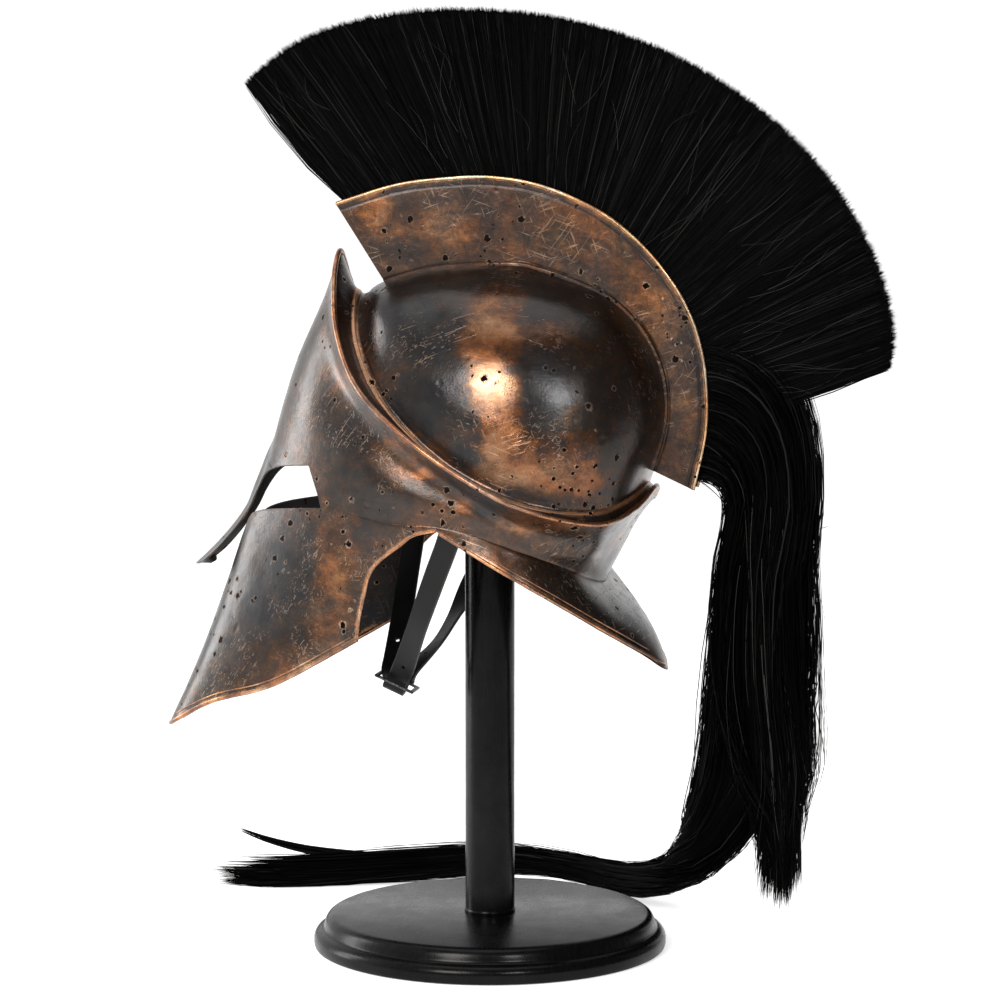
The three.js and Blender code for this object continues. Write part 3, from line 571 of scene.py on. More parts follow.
def mottling():
    """Cloudy patches, ragged blotches, streaks and dark specks, about 0 in the middle."""
    group, source, target = node_group(
        "mottling", [("Strength", "NodeSocketFloat", 1.0)], [("Value", "NodeSocketFloat")])
    g = Graph(group)
    clouds = g.math("SUBTRACT", g.noise(26, 9, 0.66, 0.8), 0.5)
    blotches = g.math("SUBTRACT", g.noise(110, 10, 0.82, 0.7), 0.5)
    streaks = g.math("SUBTRACT", g.noise(1.0, 8, 0.72, 0.6, stretch=(190, 60, 130)), 0.5)
    grain = g.math("MULTIPLY", g.math("SUBTRACT", g.noise(900, 3, 0.7), 0.5), 0.5)
    specks = g.step(g.noise(330, 4, 0.65), 0.60, 0.68, 0.0, -0.16)
    value = g.math("ADD", g.math("MULTIPLY", clouds, 0.95), g.math("MULTIPLY", streaks, 1.0))
    value = g.math("ADD", value, g.math("MULTIPLY", blotches, 1.3))
    value = g.math("ADD", g.math("ADD", value, specks), grain)
    g.feed(target.inputs["Value"], g.math("MULTIPLY", value, source.outputs["Strength"]))
    return group


def hue_drift():
    """A tint that wanders between neutral, rust red, straw and grey violet."""
    group, source, target = node_group(
        "hue drift", [("Amount", "NodeSocketFloat", 1.0)], [("Tint", "NodeSocketColor")])
    g = Graph(group)
    where = g.noise(17, 5, 0.6, 0.4)
    tint = g.ramp(where, [(0.30, (0.80, 0.84, 1.0)), (0.44, (1.0, 1.0, 1.0)), (0.56, (1.12, 0.80, 0.55)),
                          (0.68, (1.06, 1.0, 0.72))])
    g.feed(target.inputs["Tint"], g.mix(source.outputs["Amount"], (1, 1, 1, 1), tint))
    return group


def scoring():
    """Fine crossed lines scored into the skirt of the neck guard, just under its crease."""
    group, _, target = node_group("scored lines", [], [("Mask", "NodeSocketFloat")])
    g = Graph(group)
    split = g.tree.nodes.new("ShaderNodeSeparateXYZ")
    g.feed(split.inputs[0], g.coordinates)
    x, y, z = split.outputs
    waver = g.math("MULTIPLY", g.math("SUBTRACT", g.noise(40, 2), 0.5), 0.006)
    across = g.math("ADD", g.math("ADD", z, g.math("MULTIPLY", y, -0.35)), waver)
    down = g.math("ADD", g.math("ADD", x, g.math("MULTIPLY", z, 0.25)), waver)
    lines = 0.0
    for place, spacing, seed in ((across, 0.0075, 60), (down, 0.0095, 47)):
        folded = g.math("PINGPONG", g.math("DIVIDE", place, spacing), 0.5)
        drawn = g.step(g.noise(seed, 3, 0.7), 0.46, 0.56)
        lines = g.math("MAXIMUM", lines, g.math("MULTIPLY", g.step(folded, 0.065, 0.02), drawn))
    rear = g.math("MULTIPLY", g.step(y, 0.080, 0.094), g.step(z, 0.285, 0.280))
    mask = g.math("MULTIPLY", g.math("MULTIPLY", lines, rear), g.step(z, 0.240, 0.252))
    g.feed(target.inputs["Mask"], mask)
    return group


PITS = corrosion_pits()
SCORING = scoring()
SCRATCHES = fine_scratches()
MOTTLING = mottling()
HUES = hue_drift()


def new_material(name):
    material = bpy.data.materials.new(name)
    material.use_nodes = True
    shader = material.node_tree.nodes["Principled BSDF"]
    return material, Graph(material.node_tree), shader


def placed(g, group, **values):
    node = g.tree.nodes.new("ShaderNodeGroup")
    node.node_tree = group
    for key, value in values.items():
        g.feed(node.inputs[key], value)
    return node.outputs


def bump(g, shader, height, strength, distance):
    node = g.tree.nodes.new("ShaderNodeBump")
    node.inputs["Strength"].default_value = strength
    node.inputs["Distance"].default_value = distance
    g.feed(node.inputs["Height"], height)
    g.feed(shader.inputs["Normal"], node.outputs["Normal"])


def aged_bronze(name, tones, pits, scratches, rough, mottle=1.0, base=0.0, gloss=0.6, scored=False):
    """Antiqued bronze. Attribute bare says where the patina is rubbed off, edge where it is worn bright."""
    material, g, shader = new_material(name)
    mottled = placed(g, MOTTLING, Strength=mottle)["Value"]
    bare = g.math("ADD", g.attribute("bare"), mottled)
    bare = g.math("ADD", bare, base, clamp=True)
    color = g.mix(1.0, g.ramp(bare, tones), placed(g, HUES, Amount=0.9)["Tint"], "MULTIPLY")
    edge = g.attribute("edge")
    rubbed = g.step(g.math("ADD", edge, g.math("MULTIPLY", mottled, 0.8)), 0.45, 1.0)
    color = g.mix(rubbed, color, (0.40, 0.20, 0.10, 1))
    scratch = placed(g, SCRATCHES, Amount=scratches)["Mask"]
    color = g.mix(g.math("MULTIPLY", scratch, 0.45), color, (0.34, 0.22, 0.14, 1))
    pit = placed(g, PITS, Amount=pits)
    lip_worn = g.math("MULTIPLY", pit["Lip"], g.step(bare, 0.2, 0.7, 0.16, 0.5))
    color = g.mix(lip_worn, color, (0.42, 0.27, 0.17, 1))
    color = g.mix(pit["Hollow"], color, (0.006, 0.004, 0.0035, 1))
    if scored:
        color = g.mix(g.math("MULTIPLY", placed(g, SCORING)["Mask"], 0.7), color, (0.006, 0.005, 0.005, 1))
    g.feed(shader.inputs["Base Color"], color)
    g.feed(shader.inputs["Metallic"], g.step(bare, 0.1, 0.6, 0.7, 1.0))
    dull = g.step(g.noise(55, 6, 0.7), 0.3, 0.7, -0.05, 0.09)
    roughness = g.math("ADD", g.math("ADD", g.step(bare, 0.1, 0.9, rough + 0.05, rough), dull),
                       g.math("MULTIPLY", pit["Hollow"], 0.4), clamp=True)
    g.feed(shader.inputs["Roughness"], roughness)
    lacquer = g.step(g.noise(70, 5), 0.25, 0.6, gloss * 0.6, gloss)
    lacquer = g.math("MULTIPLY", lacquer, g.math("SUBTRACT", 1.0, pit["Hollow"]))
    g.feed(shader.inputs["Coat Weight"], lacquer)
    shader.inputs["Coat Roughness"].default_value = 0.22
    shader.inputs["Specular IOR Level"].default_value = 0.3
    height = g.math("ADD", pit["Height"], g.math("MULTIPLY", scratch, -0.12))
    height = g.math("ADD", height, g.math("MULTIPLY", g.noise(650, 4), 0.09))
    height = g.math("ADD", height, g.math("MULTIPLY", g.noise(140, 4), 0.22))
    if scored:
        lines = placed(g, SCORING)["Mask"]
        height = g.math("SUBTRACT", height, g.math("MULTIPLY", lines, 0.8))
    bump(g, shader, height, 0.9, 0.0009)
    g.tree.links.new(shader.inputs["Normal"].links[0].from_socket, shader.inputs["Coat Normal"])
    return material


FACE_TONES = [(0.0, (0.008, 0.0075, 0.0078)), (0.25, (0.020, 0.015, 0.013)), (0.5, (0.060, 0.034, 0.021)),
              (0.72, (0.14, 0.070, 0.036)), (1.0, (0.28, 0.14, 0.070))]
BOWL_TONES = [(0.0, (0.007, 0.0068, 0.0075)), (0.25, (0.016, 0.012, 0.011)), (0.5, (0.062, 0.029, 0.014)),
              (0.72, (0.14, 0.064, 0.027)), (1.0, (0.24, 0.125, 0.064))]
CREST_TONES = [(0.0, (0.014, 0.010, 0.009)), (0.25, (0.038, 0.022, 0.015)), (0.5, (0.095, 0.050, 0.027)),
               (0.72, (0.18, 0.092, 0.047)), (1.0, (0.34, 0.19, 0.10))]
RIM_TONES = [(0.0, (0.05, 0.027, 0.018)), (0.3, (0.15, 0.072, 0.040)), (0.6, (0.34, 0.18, 0.10)),
             (1.0, (0.60, 0.39, 0.24))]
BRASS_TONES = [(0.0, (0.12, 0.075, 0.045)), (0.3, (0.30, 0.19, 0.11)), (0.6, (0.52, 0.37, 0.22)),
               (1.0, (0.78, 0.62, 0.42))]
INNER_TONES = [(0.0, (0.006, 0.006, 0.007)), (0.4, (0.012, 0.011, 0.012)), (0.8, (0.028, 0.020, 0.017)),
               (1.0, (0.04, 0.027, 0.02))]

FACE_BRONZE = aged_bronze("face bronze", FACE_TONES, 0.52, 1.0, 0.30, 0.85, 0.0, scored=True)
BOWL_BRONZE = aged_bronze("bowl bronze", BOWL_TONES, 0.58, 0.8, 0.27, 0.80, -0.02)
CREST_BRONZE = aged_bronze("crest bronze", CREST_TONES, 0.62, 0.7, 0.34, 0.95, -0.02, 0.3)
RIM_BRONZE = aged_bronze("rubbed rim bronze", RIM_TONES, 0.30, 0.5, 0.26)
RIM_BRASS = aged_bronze("rubbed rim brass", BRASS_TONES, 0.2, 0.5, 0.24)
INNER_BRONZE = aged_bronze("inner bronze", INNER_TONES, 0.3, 0.2, 0.5, gloss=0.1)


def hair_material(name, dark, light, rough, shine):
    material, g, shader = new_material(name)
    # Attribute shade holds each hair's tone: it differs at random, and a few hairs are lifted lighter as
    # painted sheen.
    shade = g.attribute("shade")
    dust = g.noise(260, 4)
    tone = g.math("ADD", g.math("MULTIPLY", shade, 0.95), g.math("MULTIPLY", dust, 0.06), clamp=True)
    g.feed(shader.inputs["Base Color"], g.mix(tone, (*dark, 1), (*light, 1)))
    g.feed(shader.inputs["Roughness"], g.step(tone, 0.0, 1.0, rough + 0.1, rough - 0.06))
    shader.inputs["Specular IOR Level"].default_value = shine
    bump(g, shader, g.noise(1.0, 3, stretch=(1400, 1400, 200)), 0.25, 0.0003)
    return material


HAIR = hair_material("black horsehair", (0.0002, 0.0002, 0.00025), (0.018, 0.0175, 0.017), 0.40, 0.015)
STRAY_HAIR = hair_material("stray horsehair", (0.004, 0.004, 0.004), (0.045, 0.043, 0.041), 0.36, 0.2)
HAIR_CORE = hair_material("hair in shadow", (0.0005, 0.0005, 0.0005), (0.0015, 0.0015, 0.0015), 0.7, 0.02)


def leather_material():
    material, g, shader = new_material("black strap leather")
    grain = g.cells(1500).outputs["Distance"]
    creases = g.noise(1.0, 5, 0.65, stretch=(500, 160, 160))
    cloudy = g.math("MULTIPLY", g.noise(70, 5), 0.5)
    tone = g.math("ADD", g.math("MULTIPLY", creases, 0.6), cloudy, clamp=True)
    color = g.ramp(tone, [(0.3, (0.0028, 0.0028, 0.003)), (0.8, (0.009, 0.0088, 0.0088))])
    color = g.mix(g.attribute("edge"), color, (0.05, 0.048, 0.046, 1))
    g.feed(shader.inputs["Base Color"], color)
    shader.inputs["Specular IOR Level"].default_value = 0.16
    g.feed(shader.inputs["Roughness"], g.step(tone, 0.3, 0.8, 0.36, 0.56))
    bump(g, shader, g.math("ADD", g.math("MULTIPLY", grain, 0.5), creases), 0.35, 0.0003)
    return material


def stand_material():
    material, g, shader = new_material("black lacquered wood")
    grain = g.noise(1.0, 5, 0.6, 0.4, stretch=(60, 900, 60))
    rings = g.noise(1.0, 4, 0.6, stretch=(900, 60, 30))
    tone = g.math("ADD", g.math("MULTIPLY", grain, 0.5), g.math("MULTIPLY", rings, 0.5), clamp=True)
    color = g.ramp(tone, [(0.35, (0.0011, 0.0011, 0.0012)), (0.75, (0.0036, 0.0035, 0.0035))])
    dust = g.step(g.noise(1300, 3), 0.70, 0.76)
    color = g.mix(g.math("MULTIPLY", dust, 0.15), color, (0.3, 0.3, 0.3, 1))
    g.feed(shader.inputs["Base Color"], color)
    g.feed(shader.inputs["Roughness"], g.step(g.math("ADD", tone, g.noise(35, 4)), 0.7, 1.3, 0.22, 0.34))
    g.feed(shader.inputs["Coat Weight"], g.step(g.noise(28, 4), 0.3, 0.7, 0.03, 0.12))
    shader.inputs["Coat Roughness"].default_value = 0.16
    shader.inputs["Specular IOR Level"].default_value = 0.09
    bump(g, shader, g.math("ADD", tone, g.math("MULTIPLY", g.noise(60, 3), 0.8)), 0.18, 0.0004)
    return material


def steel_material():
    material, g, shader = new_material("blackened buckle steel")
    wear = g.step(g.math("ADD", g.noise(240, 5), g.math("MULTIPLY", g.attribute("edge"), 0.4)), 0.55, 0.85)
    g.feed(shader.inputs["Base Color"], g.mix(wear, (0.015, 0.015, 0.017, 1), (0.12, 0.118, 0.115, 1)))
    g.feed(shader.inputs["Metallic"], g.step(wear, 0.0, 1.0, 0.8, 1.0))
    g.feed(shader.inputs["Roughness"], g.step(g.noise(600, 3), 0.3, 0.7, 0.34, 0.5))
    bump(g, shader, g.noise(900, 3), 0.2, 0.0003)
    return material


LEATHER = leather_material()
WOOD = stand_material()
STEEL = steel_material()


def finish_piece(piece, material, slot, *nodes):
    """Gives a piece its material, hangs it on the root body and hides the solids it stands in for; slot is
    not used.
    """
    if material:
        piece.data.materials.clear()
        piece.data.materials.append(material)
    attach(piece, "root")
    if nodes:
        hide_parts(*nodes)
    return piece


# ---------------------------------------------------------------- metal shells


def bareness(points, blobs, seed):
    """How far the patina is rubbed off, 0 to 1: soft patches at given places, broken up by noise."""
    broken = noise_at(points, 26, seed) * 9 + noise_at(points, 9, seed + 1) * 4.5
    value = np.full(len(points), 0.26) + noise_at(points, 60, seed + 2) * 0.16
    for centre, radius, amount in blobs:
        away = np.linalg.norm((points - centre) / np.asarray(radius, float), axis=1)
        away = away * np.mean(radius) + broken
        value += amount * smooth(np.mean(radius) * 1.25, np.mean(radius) * 0.55, away)
    return np.clip(value, 0, 1)


def hammered(points, normal, seed, amount=1.0):
    """The slight waves that raising a sheet by hammer leaves."""
    waves = noise_at(points, 34, seed) * 0.42 + noise_at(points, 13, seed + 1) * 0.13
    return points + normal * (waves * amount)[:, None]


US = np.linspace(0, 18, 421)[:-1]  # stations of the fine shells, all the way round


def shell(surface, last_row, outward, inner_offset, outer_rows, inner_rows, relief):
    """A closed shell: its outer surface with relief, its inner one plain, joined along both ends."""
    n = len(US)
    parts = []
    sides = ((outer_rows, inner_offset + SHEET, True), (inner_rows, inner_offset, False))
    for rows, offset, shaped in sides:
        v, u = np.meshgrid(rows, US, indexing="ij")
        points = surface(u, v).reshape(-1, 3)
        normal = normals(surface, u, v, last_row, outward).reshape(-1, 3)
        points = points + normal * offset
        if shaped:
            points = relief(points, normal, v.ravel())
        parts.append(points)
    outer, inner = parts
    rows_out, rows_in = len(outer_rows), len(inner_rows)
    faces = grid_faces(rows_out, n, closed_columns=True)
    start = rows_out * n
    faces += [[i + start for i in face] for face in grid_faces(rows_in, n, closed_columns=True, flip=True)]
    for j in range(n):
        k = (j + 1) % n
        faces.append([j, start + j, start + k, k])
        a, b = (rows_out - 1) * n, start + (rows_in - 1) * n
        faces.append([a + j, a + k, b + k, b + j])
    return np.concatenate([outer, inner]), faces


def face_relief(points, normal, _):
    """Hammering and dents."""
    points = hammered(points, normal, 3)
    pick = RANDOM.integers(0, len(points), 46)
    return dents(points, normal, points[pick], RANDOM.uniform(1.6, 3.0, 46), RANDOM.uniform(0.25, 0.6, 46))


face_rows = np.concatenate([np.linspace(0, 1, 16)[:-1], np.linspace(1, 5, 90)[:-1], np.linspace(5, 6.85, 50),
                            [6.93, 7.0]])
points, faces = shell(face_points, 7, -1, 0, face_rows, np.linspace(0, 7, 26), face_relief)
face_shell = mesh_object("face_and_neck_shell", points, faces)
face_outwards(face_shell)


opening = np.concatenate([even_spline(NASAL_TIP, 8)[:-1], even_spline(NASAL_EDGE, 46)[:-1],
                          even_spline(EYE_CORNER, 14)[:-1], even_spline(CHEEK_FRONT, 70)])
right_half = opening[1:][::-1] * [-1, 1]
cut_away(face_shell, np.concatenate([opening, right_half]), "Y", -320, -70)

lower_edge = np.concatenate([even_spline(CHEEK_LOWER, 60)[:-1], even_spline(CHEEK_REAR, 40)[:-1],
                             even_spline(NECK_EDGE, 70)])
below = [[180, 197], [180, 100], [-300, 100]]
cut_away(face_shell, np.concatenate([lower_edge, below]), "X", -200, 200)


def edge_line(start, end, count):
    """Where the lower edge crosses the lines from station start to station end, in mid sheet."""
    u = np.linspace(start, end, count)
    v = np.linspace(3, 7, 700)
    uu, vv = np.meshgrid(u, v, indexing="ij")
    p = face_points(uu, vv)
    over = p[..., 2] - np.interp(p[..., 1], lower_edge[:, 0], lower_edge[:, 1])
    first = np.argmax(over < 0, axis=1)
    first = np.where((over < 0).any(axis=1), np.maximum(first, 1), len(v) - 1)
    rows = np.arange(count)
    a, b = over[rows, first - 1], over[rows, first]
    share = np.clip(a / np.where(a - b == 0, 1, a - b), 0, 1)
    v_edge = v[first - 1] + share * (v[first] - v[first - 1])
    n = normals(face_points, u, v_edge, 7, -1)
    return face_points(u, v_edge) + n * SHEET / 2


def rim_tube(line, radius, sides, closed, seed, nicks=0.06):
    uneven = noise_at(line, 14, seed) * 0.10 + noise_at(line, 4, seed + 1) * nicks
    return tube_mesh(line, radius * (1 + uneven), sides, closed)


def mid_sheet_tree():
    v, u = np.meshgrid(np.linspace(0, 7, 260), US, indexing="ij")
    n = normals(face_points, u, v, 7, -1)
    p = (face_points(u, v) + n * SHEET / 2).reshape(-1, 3)
    return BVHTree.FromPolygons(p.tolist(), grid_faces(260, len(US), closed_columns=True))


MID_SHEET = mid_sheet_tree()
MIRROR = np.array([-1, 1, 1])
BOTH_SIDES = (np.array([1, 1, 1]), MIRROR)


def side_line(outline, count, raise_by=0.0, outwards=0.0):
    """A side-view line laid on the left of the sheet, where the sheet is wide enough to be met."""
    line = []
    for y, z in even_spline(outline, count):
        hit, normal, _, _ = MID_SHEET.ray_cast(Vector((250, y, z + raise_by)), Vector((-1, 0, 0)), 236)
        if hit is not None:
            line.append(hit + normal * math.copysign(outwards, normal.x))
    return np.array([tuple(q) for q in line])


front_line = edge_line(*CHIN, 40)
chin_side = side_line(CHEEK_LOWER, 240)
chin_line = np.concatenate([front_line[front_line[:, 1] < chin_side[0, 1] - 1], chin_side])
rear_line = side_line(CHEEK_REAR, 90)
neck_left = edge_line(ARCH, LAST_STATION, 170)
neck_line = np.concatenate([neck_left, neck_left[:-1][::-1] * MIRROR])
chin_trace = side_line(CHEEK_LOWER, 200, 4.2, SHEET / 2)[6:-4]
neck_trace = side_line(NECK_EDGE[1:-2], 120, 4.6, SHEET / 2)

rims = [rim_tube(neck_line, EDGE_BEAD, 8, False, 5)]
for k, side in enumerate(BOTH_SIDES):
    rims.append(rim_tube(chin_line * side, EDGE_BEAD * 1.2, 8, False, 6 + k))
    rims.append(rim_tube(rear_line * side, EDGE_BEAD * 0.72, 8, False, 8 + k))
    rims.append(rim_tube(chin_trace * side, 0.62, 6, False, 16 + k))
    rims.append(rim_tube(neck_trace * side, 0.5, 6, False, 18 + k))
edge_rims = mesh_object("lower_edge_rims", *joined(rims))
face_outwards(edge_rims)


def flange_rim():
    """The rolled rim along the top of the flange."""
    top = face_points(US, np.zeros(len(US)))
    under = face_points(US, np.full(len(US), 0.12))
    n = normals(face_points, US, np.zeros(len(US)), 7, -1)
    up = top - under
    up /= np.linalg.norm(up, axis=1, keepdims=True)
    line = top + n * SHEET / 2 + up * BROW_BEAD * 0.55
    return mesh_object("flange_rim", *rim_tube(line, BROW_BEAD, 10, True, 11)), line


brow_rim, brow_line = flange_rim()
face_outwards(brow_rim)


def opening_edges():
    """The opening's edge on the sheet, as a thin rounded line on each side."""
    line = []
    for x, z in even_spline(opening, 330):
        hit = MID_SHEET.ray_cast(Vector((x, -330, z)), Vector((0, 1, 0)), 230)[0]
        if hit is None:
            continue
        if hit.z < np.interp(hit.y, lower_edge[:, 0], lower_edge[:, 1]) - 0.2:
            break
        line.append(tuple(hit))
    line = np.array(line)
    for _ in range(2):
        line[1:-1] = (line[:-2] + 2 * line[1:-1] + line[2:]) / 4
    return line


trim_line = opening_edges()
trims = [rim_tube(trim_line * side, 0.86, 6, False, 15, nicks=0.1) for side in BOTH_SIDES]
opening_trim = mesh_object("opening_edges", *joined(trims))
face_outwards(opening_trim)

EDGE_LINES = [brow_line, chin_line, chin_line * MIRROR, rear_line, rear_line * MIRROR, neck_line]
# rubbed places: centre, half sizes, how bare (below nought: darker)
FACE_BLOBS = [
    ((91, -50, 383), (20, 26, 22), 0.30), ((95, -30, 374), (10, 12, 5), 0.45),
    ((77, -103, 318), (20, 22, 40), 0.30), ((76, -108, 268), (18, 20, 36), 0.26),
    ((70, -135, 225), (18, 30, 14), 0.28), ((106, 62, 342), (22, 40, 14), 0.42),
    ((98, -2, 348), (14, 16, 12), 0.30), ((60, 95, 300), (16, 20, 12), 0.22),
    ((70, -96, 440), (14, 20, 26), 0.16), ((46, -168, 300), (30, 30, 60), -0.16),
    ((104, 20, 352), (22, 18, 16), -0.20), ((66, 90, 330), (22, 26, 12), -0.14),
    ((-91, -50, 383), (24, 26, 26), 0.32), ((-77, -103, 290), (20, 30, 50), 0.28),
    ((-100, 40, 345), (26, 40, 16), 0.30), ((0, -160, 420), (20, 30, 30), 0.14),
    ((0, 112, 320), (60, 20, 14), 0.25), ((-46, 130, 235), (40, 20, 16), 0.18),
]
BOWL_BLOBS = [
    ((60, 16, 499), (32, 23, 30), 0.38), ((84, 18, 462), (28, 24, 34), 0.46),
    ((93, 22, 424), (26, 23, 34), 0.46), ((98, 34, 386), (24, 32, 24), 0.48),
    ((92, 74, 372), (28, 38, 17), 0.46), ((72, 50, 474), (30, 34, 14), 0.20),
    ((88, 88, 396), (24, 18, 12), 0.20), ((66, -52, 476), (30, 26, 30), -0.22),
    ((84, -34, 430), (24, 24, 34), -0.24), ((92, 62, 436), (22, 18, 26), -0.22),
    ((96, 2, 386), (14, 12, 8), -0.30), ((70, 100, 430), (24, 20, 34), -0.12),
    ((-70, -10, 480), (26, 22, 30), 0.40), ((-94, 24, 410), (20, 26, 30), 0.42),
    ((-84, 80, 380), (26, 30, 16), 0.36), ((-60, 70, 480), (26, 30, 24), -0.16),
    ((0, 135, 400), (30, 14, 30), 0.20),
]


def tone_shell(piece, outer_points, outer_normals, blobs, seed, edges, inner_material):
    """Attributes bare and edge on a shell, and the dark inside as a second material."""
    p = vertices(piece)
    bare = bareness(p, blobs, seed)
    away = distance_to(edges, p)
    set_attribute(piece, "edge", np.exp(-((away / 3.2) ** 2)))
    set_attribute(piece, "bare", np.clip(bare + 0.16 * np.exp(-((away / 11) ** 2)), 0, 1))
    tree = tree_of(outer_points)
    piece.data.materials.append(inner_material)
    inside = []
    for polygon in piece.data.polygons:
        _, i, _ = tree.find(polygon.center / MM)
        inside.append(1 if polygon.normal.dot(Vector(outer_normals[i])) < -0.2 else 0)
    piece.data.polygons.foreach_set("material_index", inside)


def outer_samples(surface, last_row, outward, offset):
    v, u = np.meshgrid(np.linspace(0, last_row, 90), np.linspace(0, 18, 181)[:-1], indexing="ij")
    n = normals(surface, u, v, last_row, outward)
    return (surface(u, v) + n * offset).reshape(-1, 3), n.reshape(-1, 3)


finish_piece(face_shell, FACE_BRONZE, "bronze", "face_and_neck_guard")
tone_shell(face_shell, *outer_samples(face_points, 7, -1, SHEET), FACE_BLOBS, 21, EDGE_LINES, INNER_BRONZE)
shade_by_angle(face_shell, 38)


def tone_rim(piece, seed, level):
    p = vertices(piece)
    broken = noise_at(p, 16, seed) * 0.35 + noise_at(p, 5, seed + 1) * 0.15
    set_attribute(piece, "bare", np.clip(level + broken, 0, 1))
    set_attribute(piece, "edge", np.zeros(len(p)))


for piece, level, material in ((edge_rims, 0.50, RIM_BRONZE), (brow_rim, 0.46, RIM_BRONZE),
                               (opening_trim, 0.26, FACE_BRONZE)):
    tone_rim(piece, 31, level)
    finish_piece(piece, material, "bronze")


def bowl_relief(points, normal, v):
    """Hammering and dents, and a fine raised line round the foot of the dome."""
    points = hammered(points, normal, 41, 1.0)
    line = 0.95 * np.exp(-(((v - 1.52) / 0.13) ** 2)) - 0.5 * np.exp(-(((v - 1.86) / 0.10) ** 2))
    points = points + normal * line[:, None]
    dome = np.flatnonzero(v > 2.3)
    pick = RANDOM.choice(dome, 60)
    return dents(points, normal, points[pick], RANDOM.uniform(1.5, 2.9, 60), RANDOM.uniform(0.25, 0.6, 60))


BOWL_INNER_ROWS = 22
bowl_rows = np.concatenate([np.linspace(0, 2, 26)[:-1], np.linspace(2, 4, 50)[:-1], np.linspace(4, 6, 44)])
points, faces = shell(bowl_points, 6, 1, -SHEET, bowl_rows, np.linspace(0, 6, BOWL_INNER_ROWS), bowl_relief)
n = len(US)
faces = faces[:len(faces) - 2 * n]
outer_last, inner_first = (len(bowl_rows) - 1) * n, len(bowl_rows) * n
inner_last = inner_first + (BOWL_INNER_ROWS - 1) * n
for j in range(n):
    faces.append([j, inner_first + j, inner_first + (j + 1) % n, (j + 1) % n])
caps = [points[outer_last:outer_last + n].mean(0), points[inner_last:inner_last + n].mean(0)]
points = np.concatenate([points, caps])
for j in range(n):
    k = (j + 1) % n
    faces.append([outer_last + j, outer_last + k, len(points) - 2])
    faces.append([inner_last + k, inner_last + j, len(points) - 1])
bowl = mesh_object("skull_bowl_shell", points, faces)
face_outwards(bowl)
finish_piece(bowl, BOWL_BRONZE, "bronze", "skull_bowl")
border = bowl_points(US, np.full(n, 1.52))
tone_shell(bowl, *outer_samples(bowl_points, 6, 1, 0), BOWL_BLOBS, 51, [brow_line, border], INNER_BRONZE)

# ---------------------------------------------------------------- crest holder


def crest_holder():
    """Walls, trough and ends of the crest holder, following the bowl with its foot."""
    v, u = np.meshgrid(np.linspace(2, 6, 120), US, indexing="ij")
    dome_points = bowl_points(u, v).reshape(-1, 3).tolist()
    dome = BVHTree.FromPolygons(dome_points, grid_faces(120, len(US), closed_columns=True))
    steps = 300
    s = np.linspace(0, 1, steps)
    foot = even_spline(CREST_FOOT, steps)
    rim_even = even_spline(CREST_RIM, steps)
    deep = np.where((s > BRUSH_SPAN[0]) & (s < BRUSH_SPAN[1] + 0.004), CREST_DEPTH, 1.0)
    down = np.concatenate([np.linspace(0, 0.06, 5)[:-1], np.linspace(0.06, 0.2, 9)[:-1],
                           np.linspace(0.2, 0.92, 30)[:-1], np.linspace(0.92, 1, 8)])
    loops = []
    for i in range(steps):
        top = np.array([0, *rim_even[i]])
        end = np.array([0, *foot[i]])
        way = (end - top) / np.linalg.norm(end - top)
        side = top + [CREST_HALF, 0, 0]
        hit = dome.ray_cast(Vector(side), Vector(way), 200)[3]
        length = hit + 0.9 if hit else np.linalg.norm(end - top)
        wall = []
        for d in down * length:
            x = CREST_HALF - 0.55 * math.exp(-(((d - 5.2) / 0.9) ** 2)) + 0.5 * math.exp(-(d / 2.4) ** 2)
            x += 1.3 * smooth(3.6, 2.6, length - d) - 0.5 * math.exp(-(((length - d - 4.2) / 0.7) ** 2))
            wall.append(top + way * d + [x, 0, 0])
        inner = CREST_HALF - SHEET
        trough = [top + way * d + [inner, 0, 0] for d in np.linspace(0, deep[i], 6)]
        under = [top + way * length + [x, 0, 0] for x in (CREST_HALF - 3, 4)]
        half = trough[::-1] + wall + under
        loops.append(half + [q * MIRROR for q in half[::-1]])
    loops = np.array(loops)
    m = loops.shape[1]
    flat = loops.reshape(-1, 3)
    around = np.sign(flat[:, 0:1]) * [1.0, 0, 0]
    outer = np.abs(flat[:, 0]) > CREST_HALF - 1
    waves = noise_at(flat, 30, 61) * 0.40 + noise_at(flat, 11, 62) * 0.14
    flat = flat + around * (waves * outer)[:, None]
    pick = RANDOM.choice(np.flatnonzero(outer), 46)
    sizes, depths = RANDOM.uniform(1.4, 2.6, 46), RANDOM.uniform(0.3, 0.7, 46)
    flat = dents(flat, around * outer[:, None], flat[pick], sizes, depths)
    faces = capped_faces(steps, m)
    holder = mesh_object("crest_holder_walls", flat, faces)
    face_outwards(holder)
    return holder, rim_even


holder, rim_side = crest_holder()
shade_by_angle(holder, 40)
lips = []
for k, side in enumerate((1, -1)):
    line = np.column_stack([np.full(len(rim_side), side * (CREST_HALF - 0.2)), rim_side])
    lips.append(rim_tube(line, CREST_BEAD, 8, False, 71 + k))
crest_lips = mesh_object("crest_holder_lips", *joined(lips))
face_outwards(crest_lips)
tone_rim(crest_lips, 75, 0.55)
finish_piece(crest_lips, RIM_BRASS, "bronze")

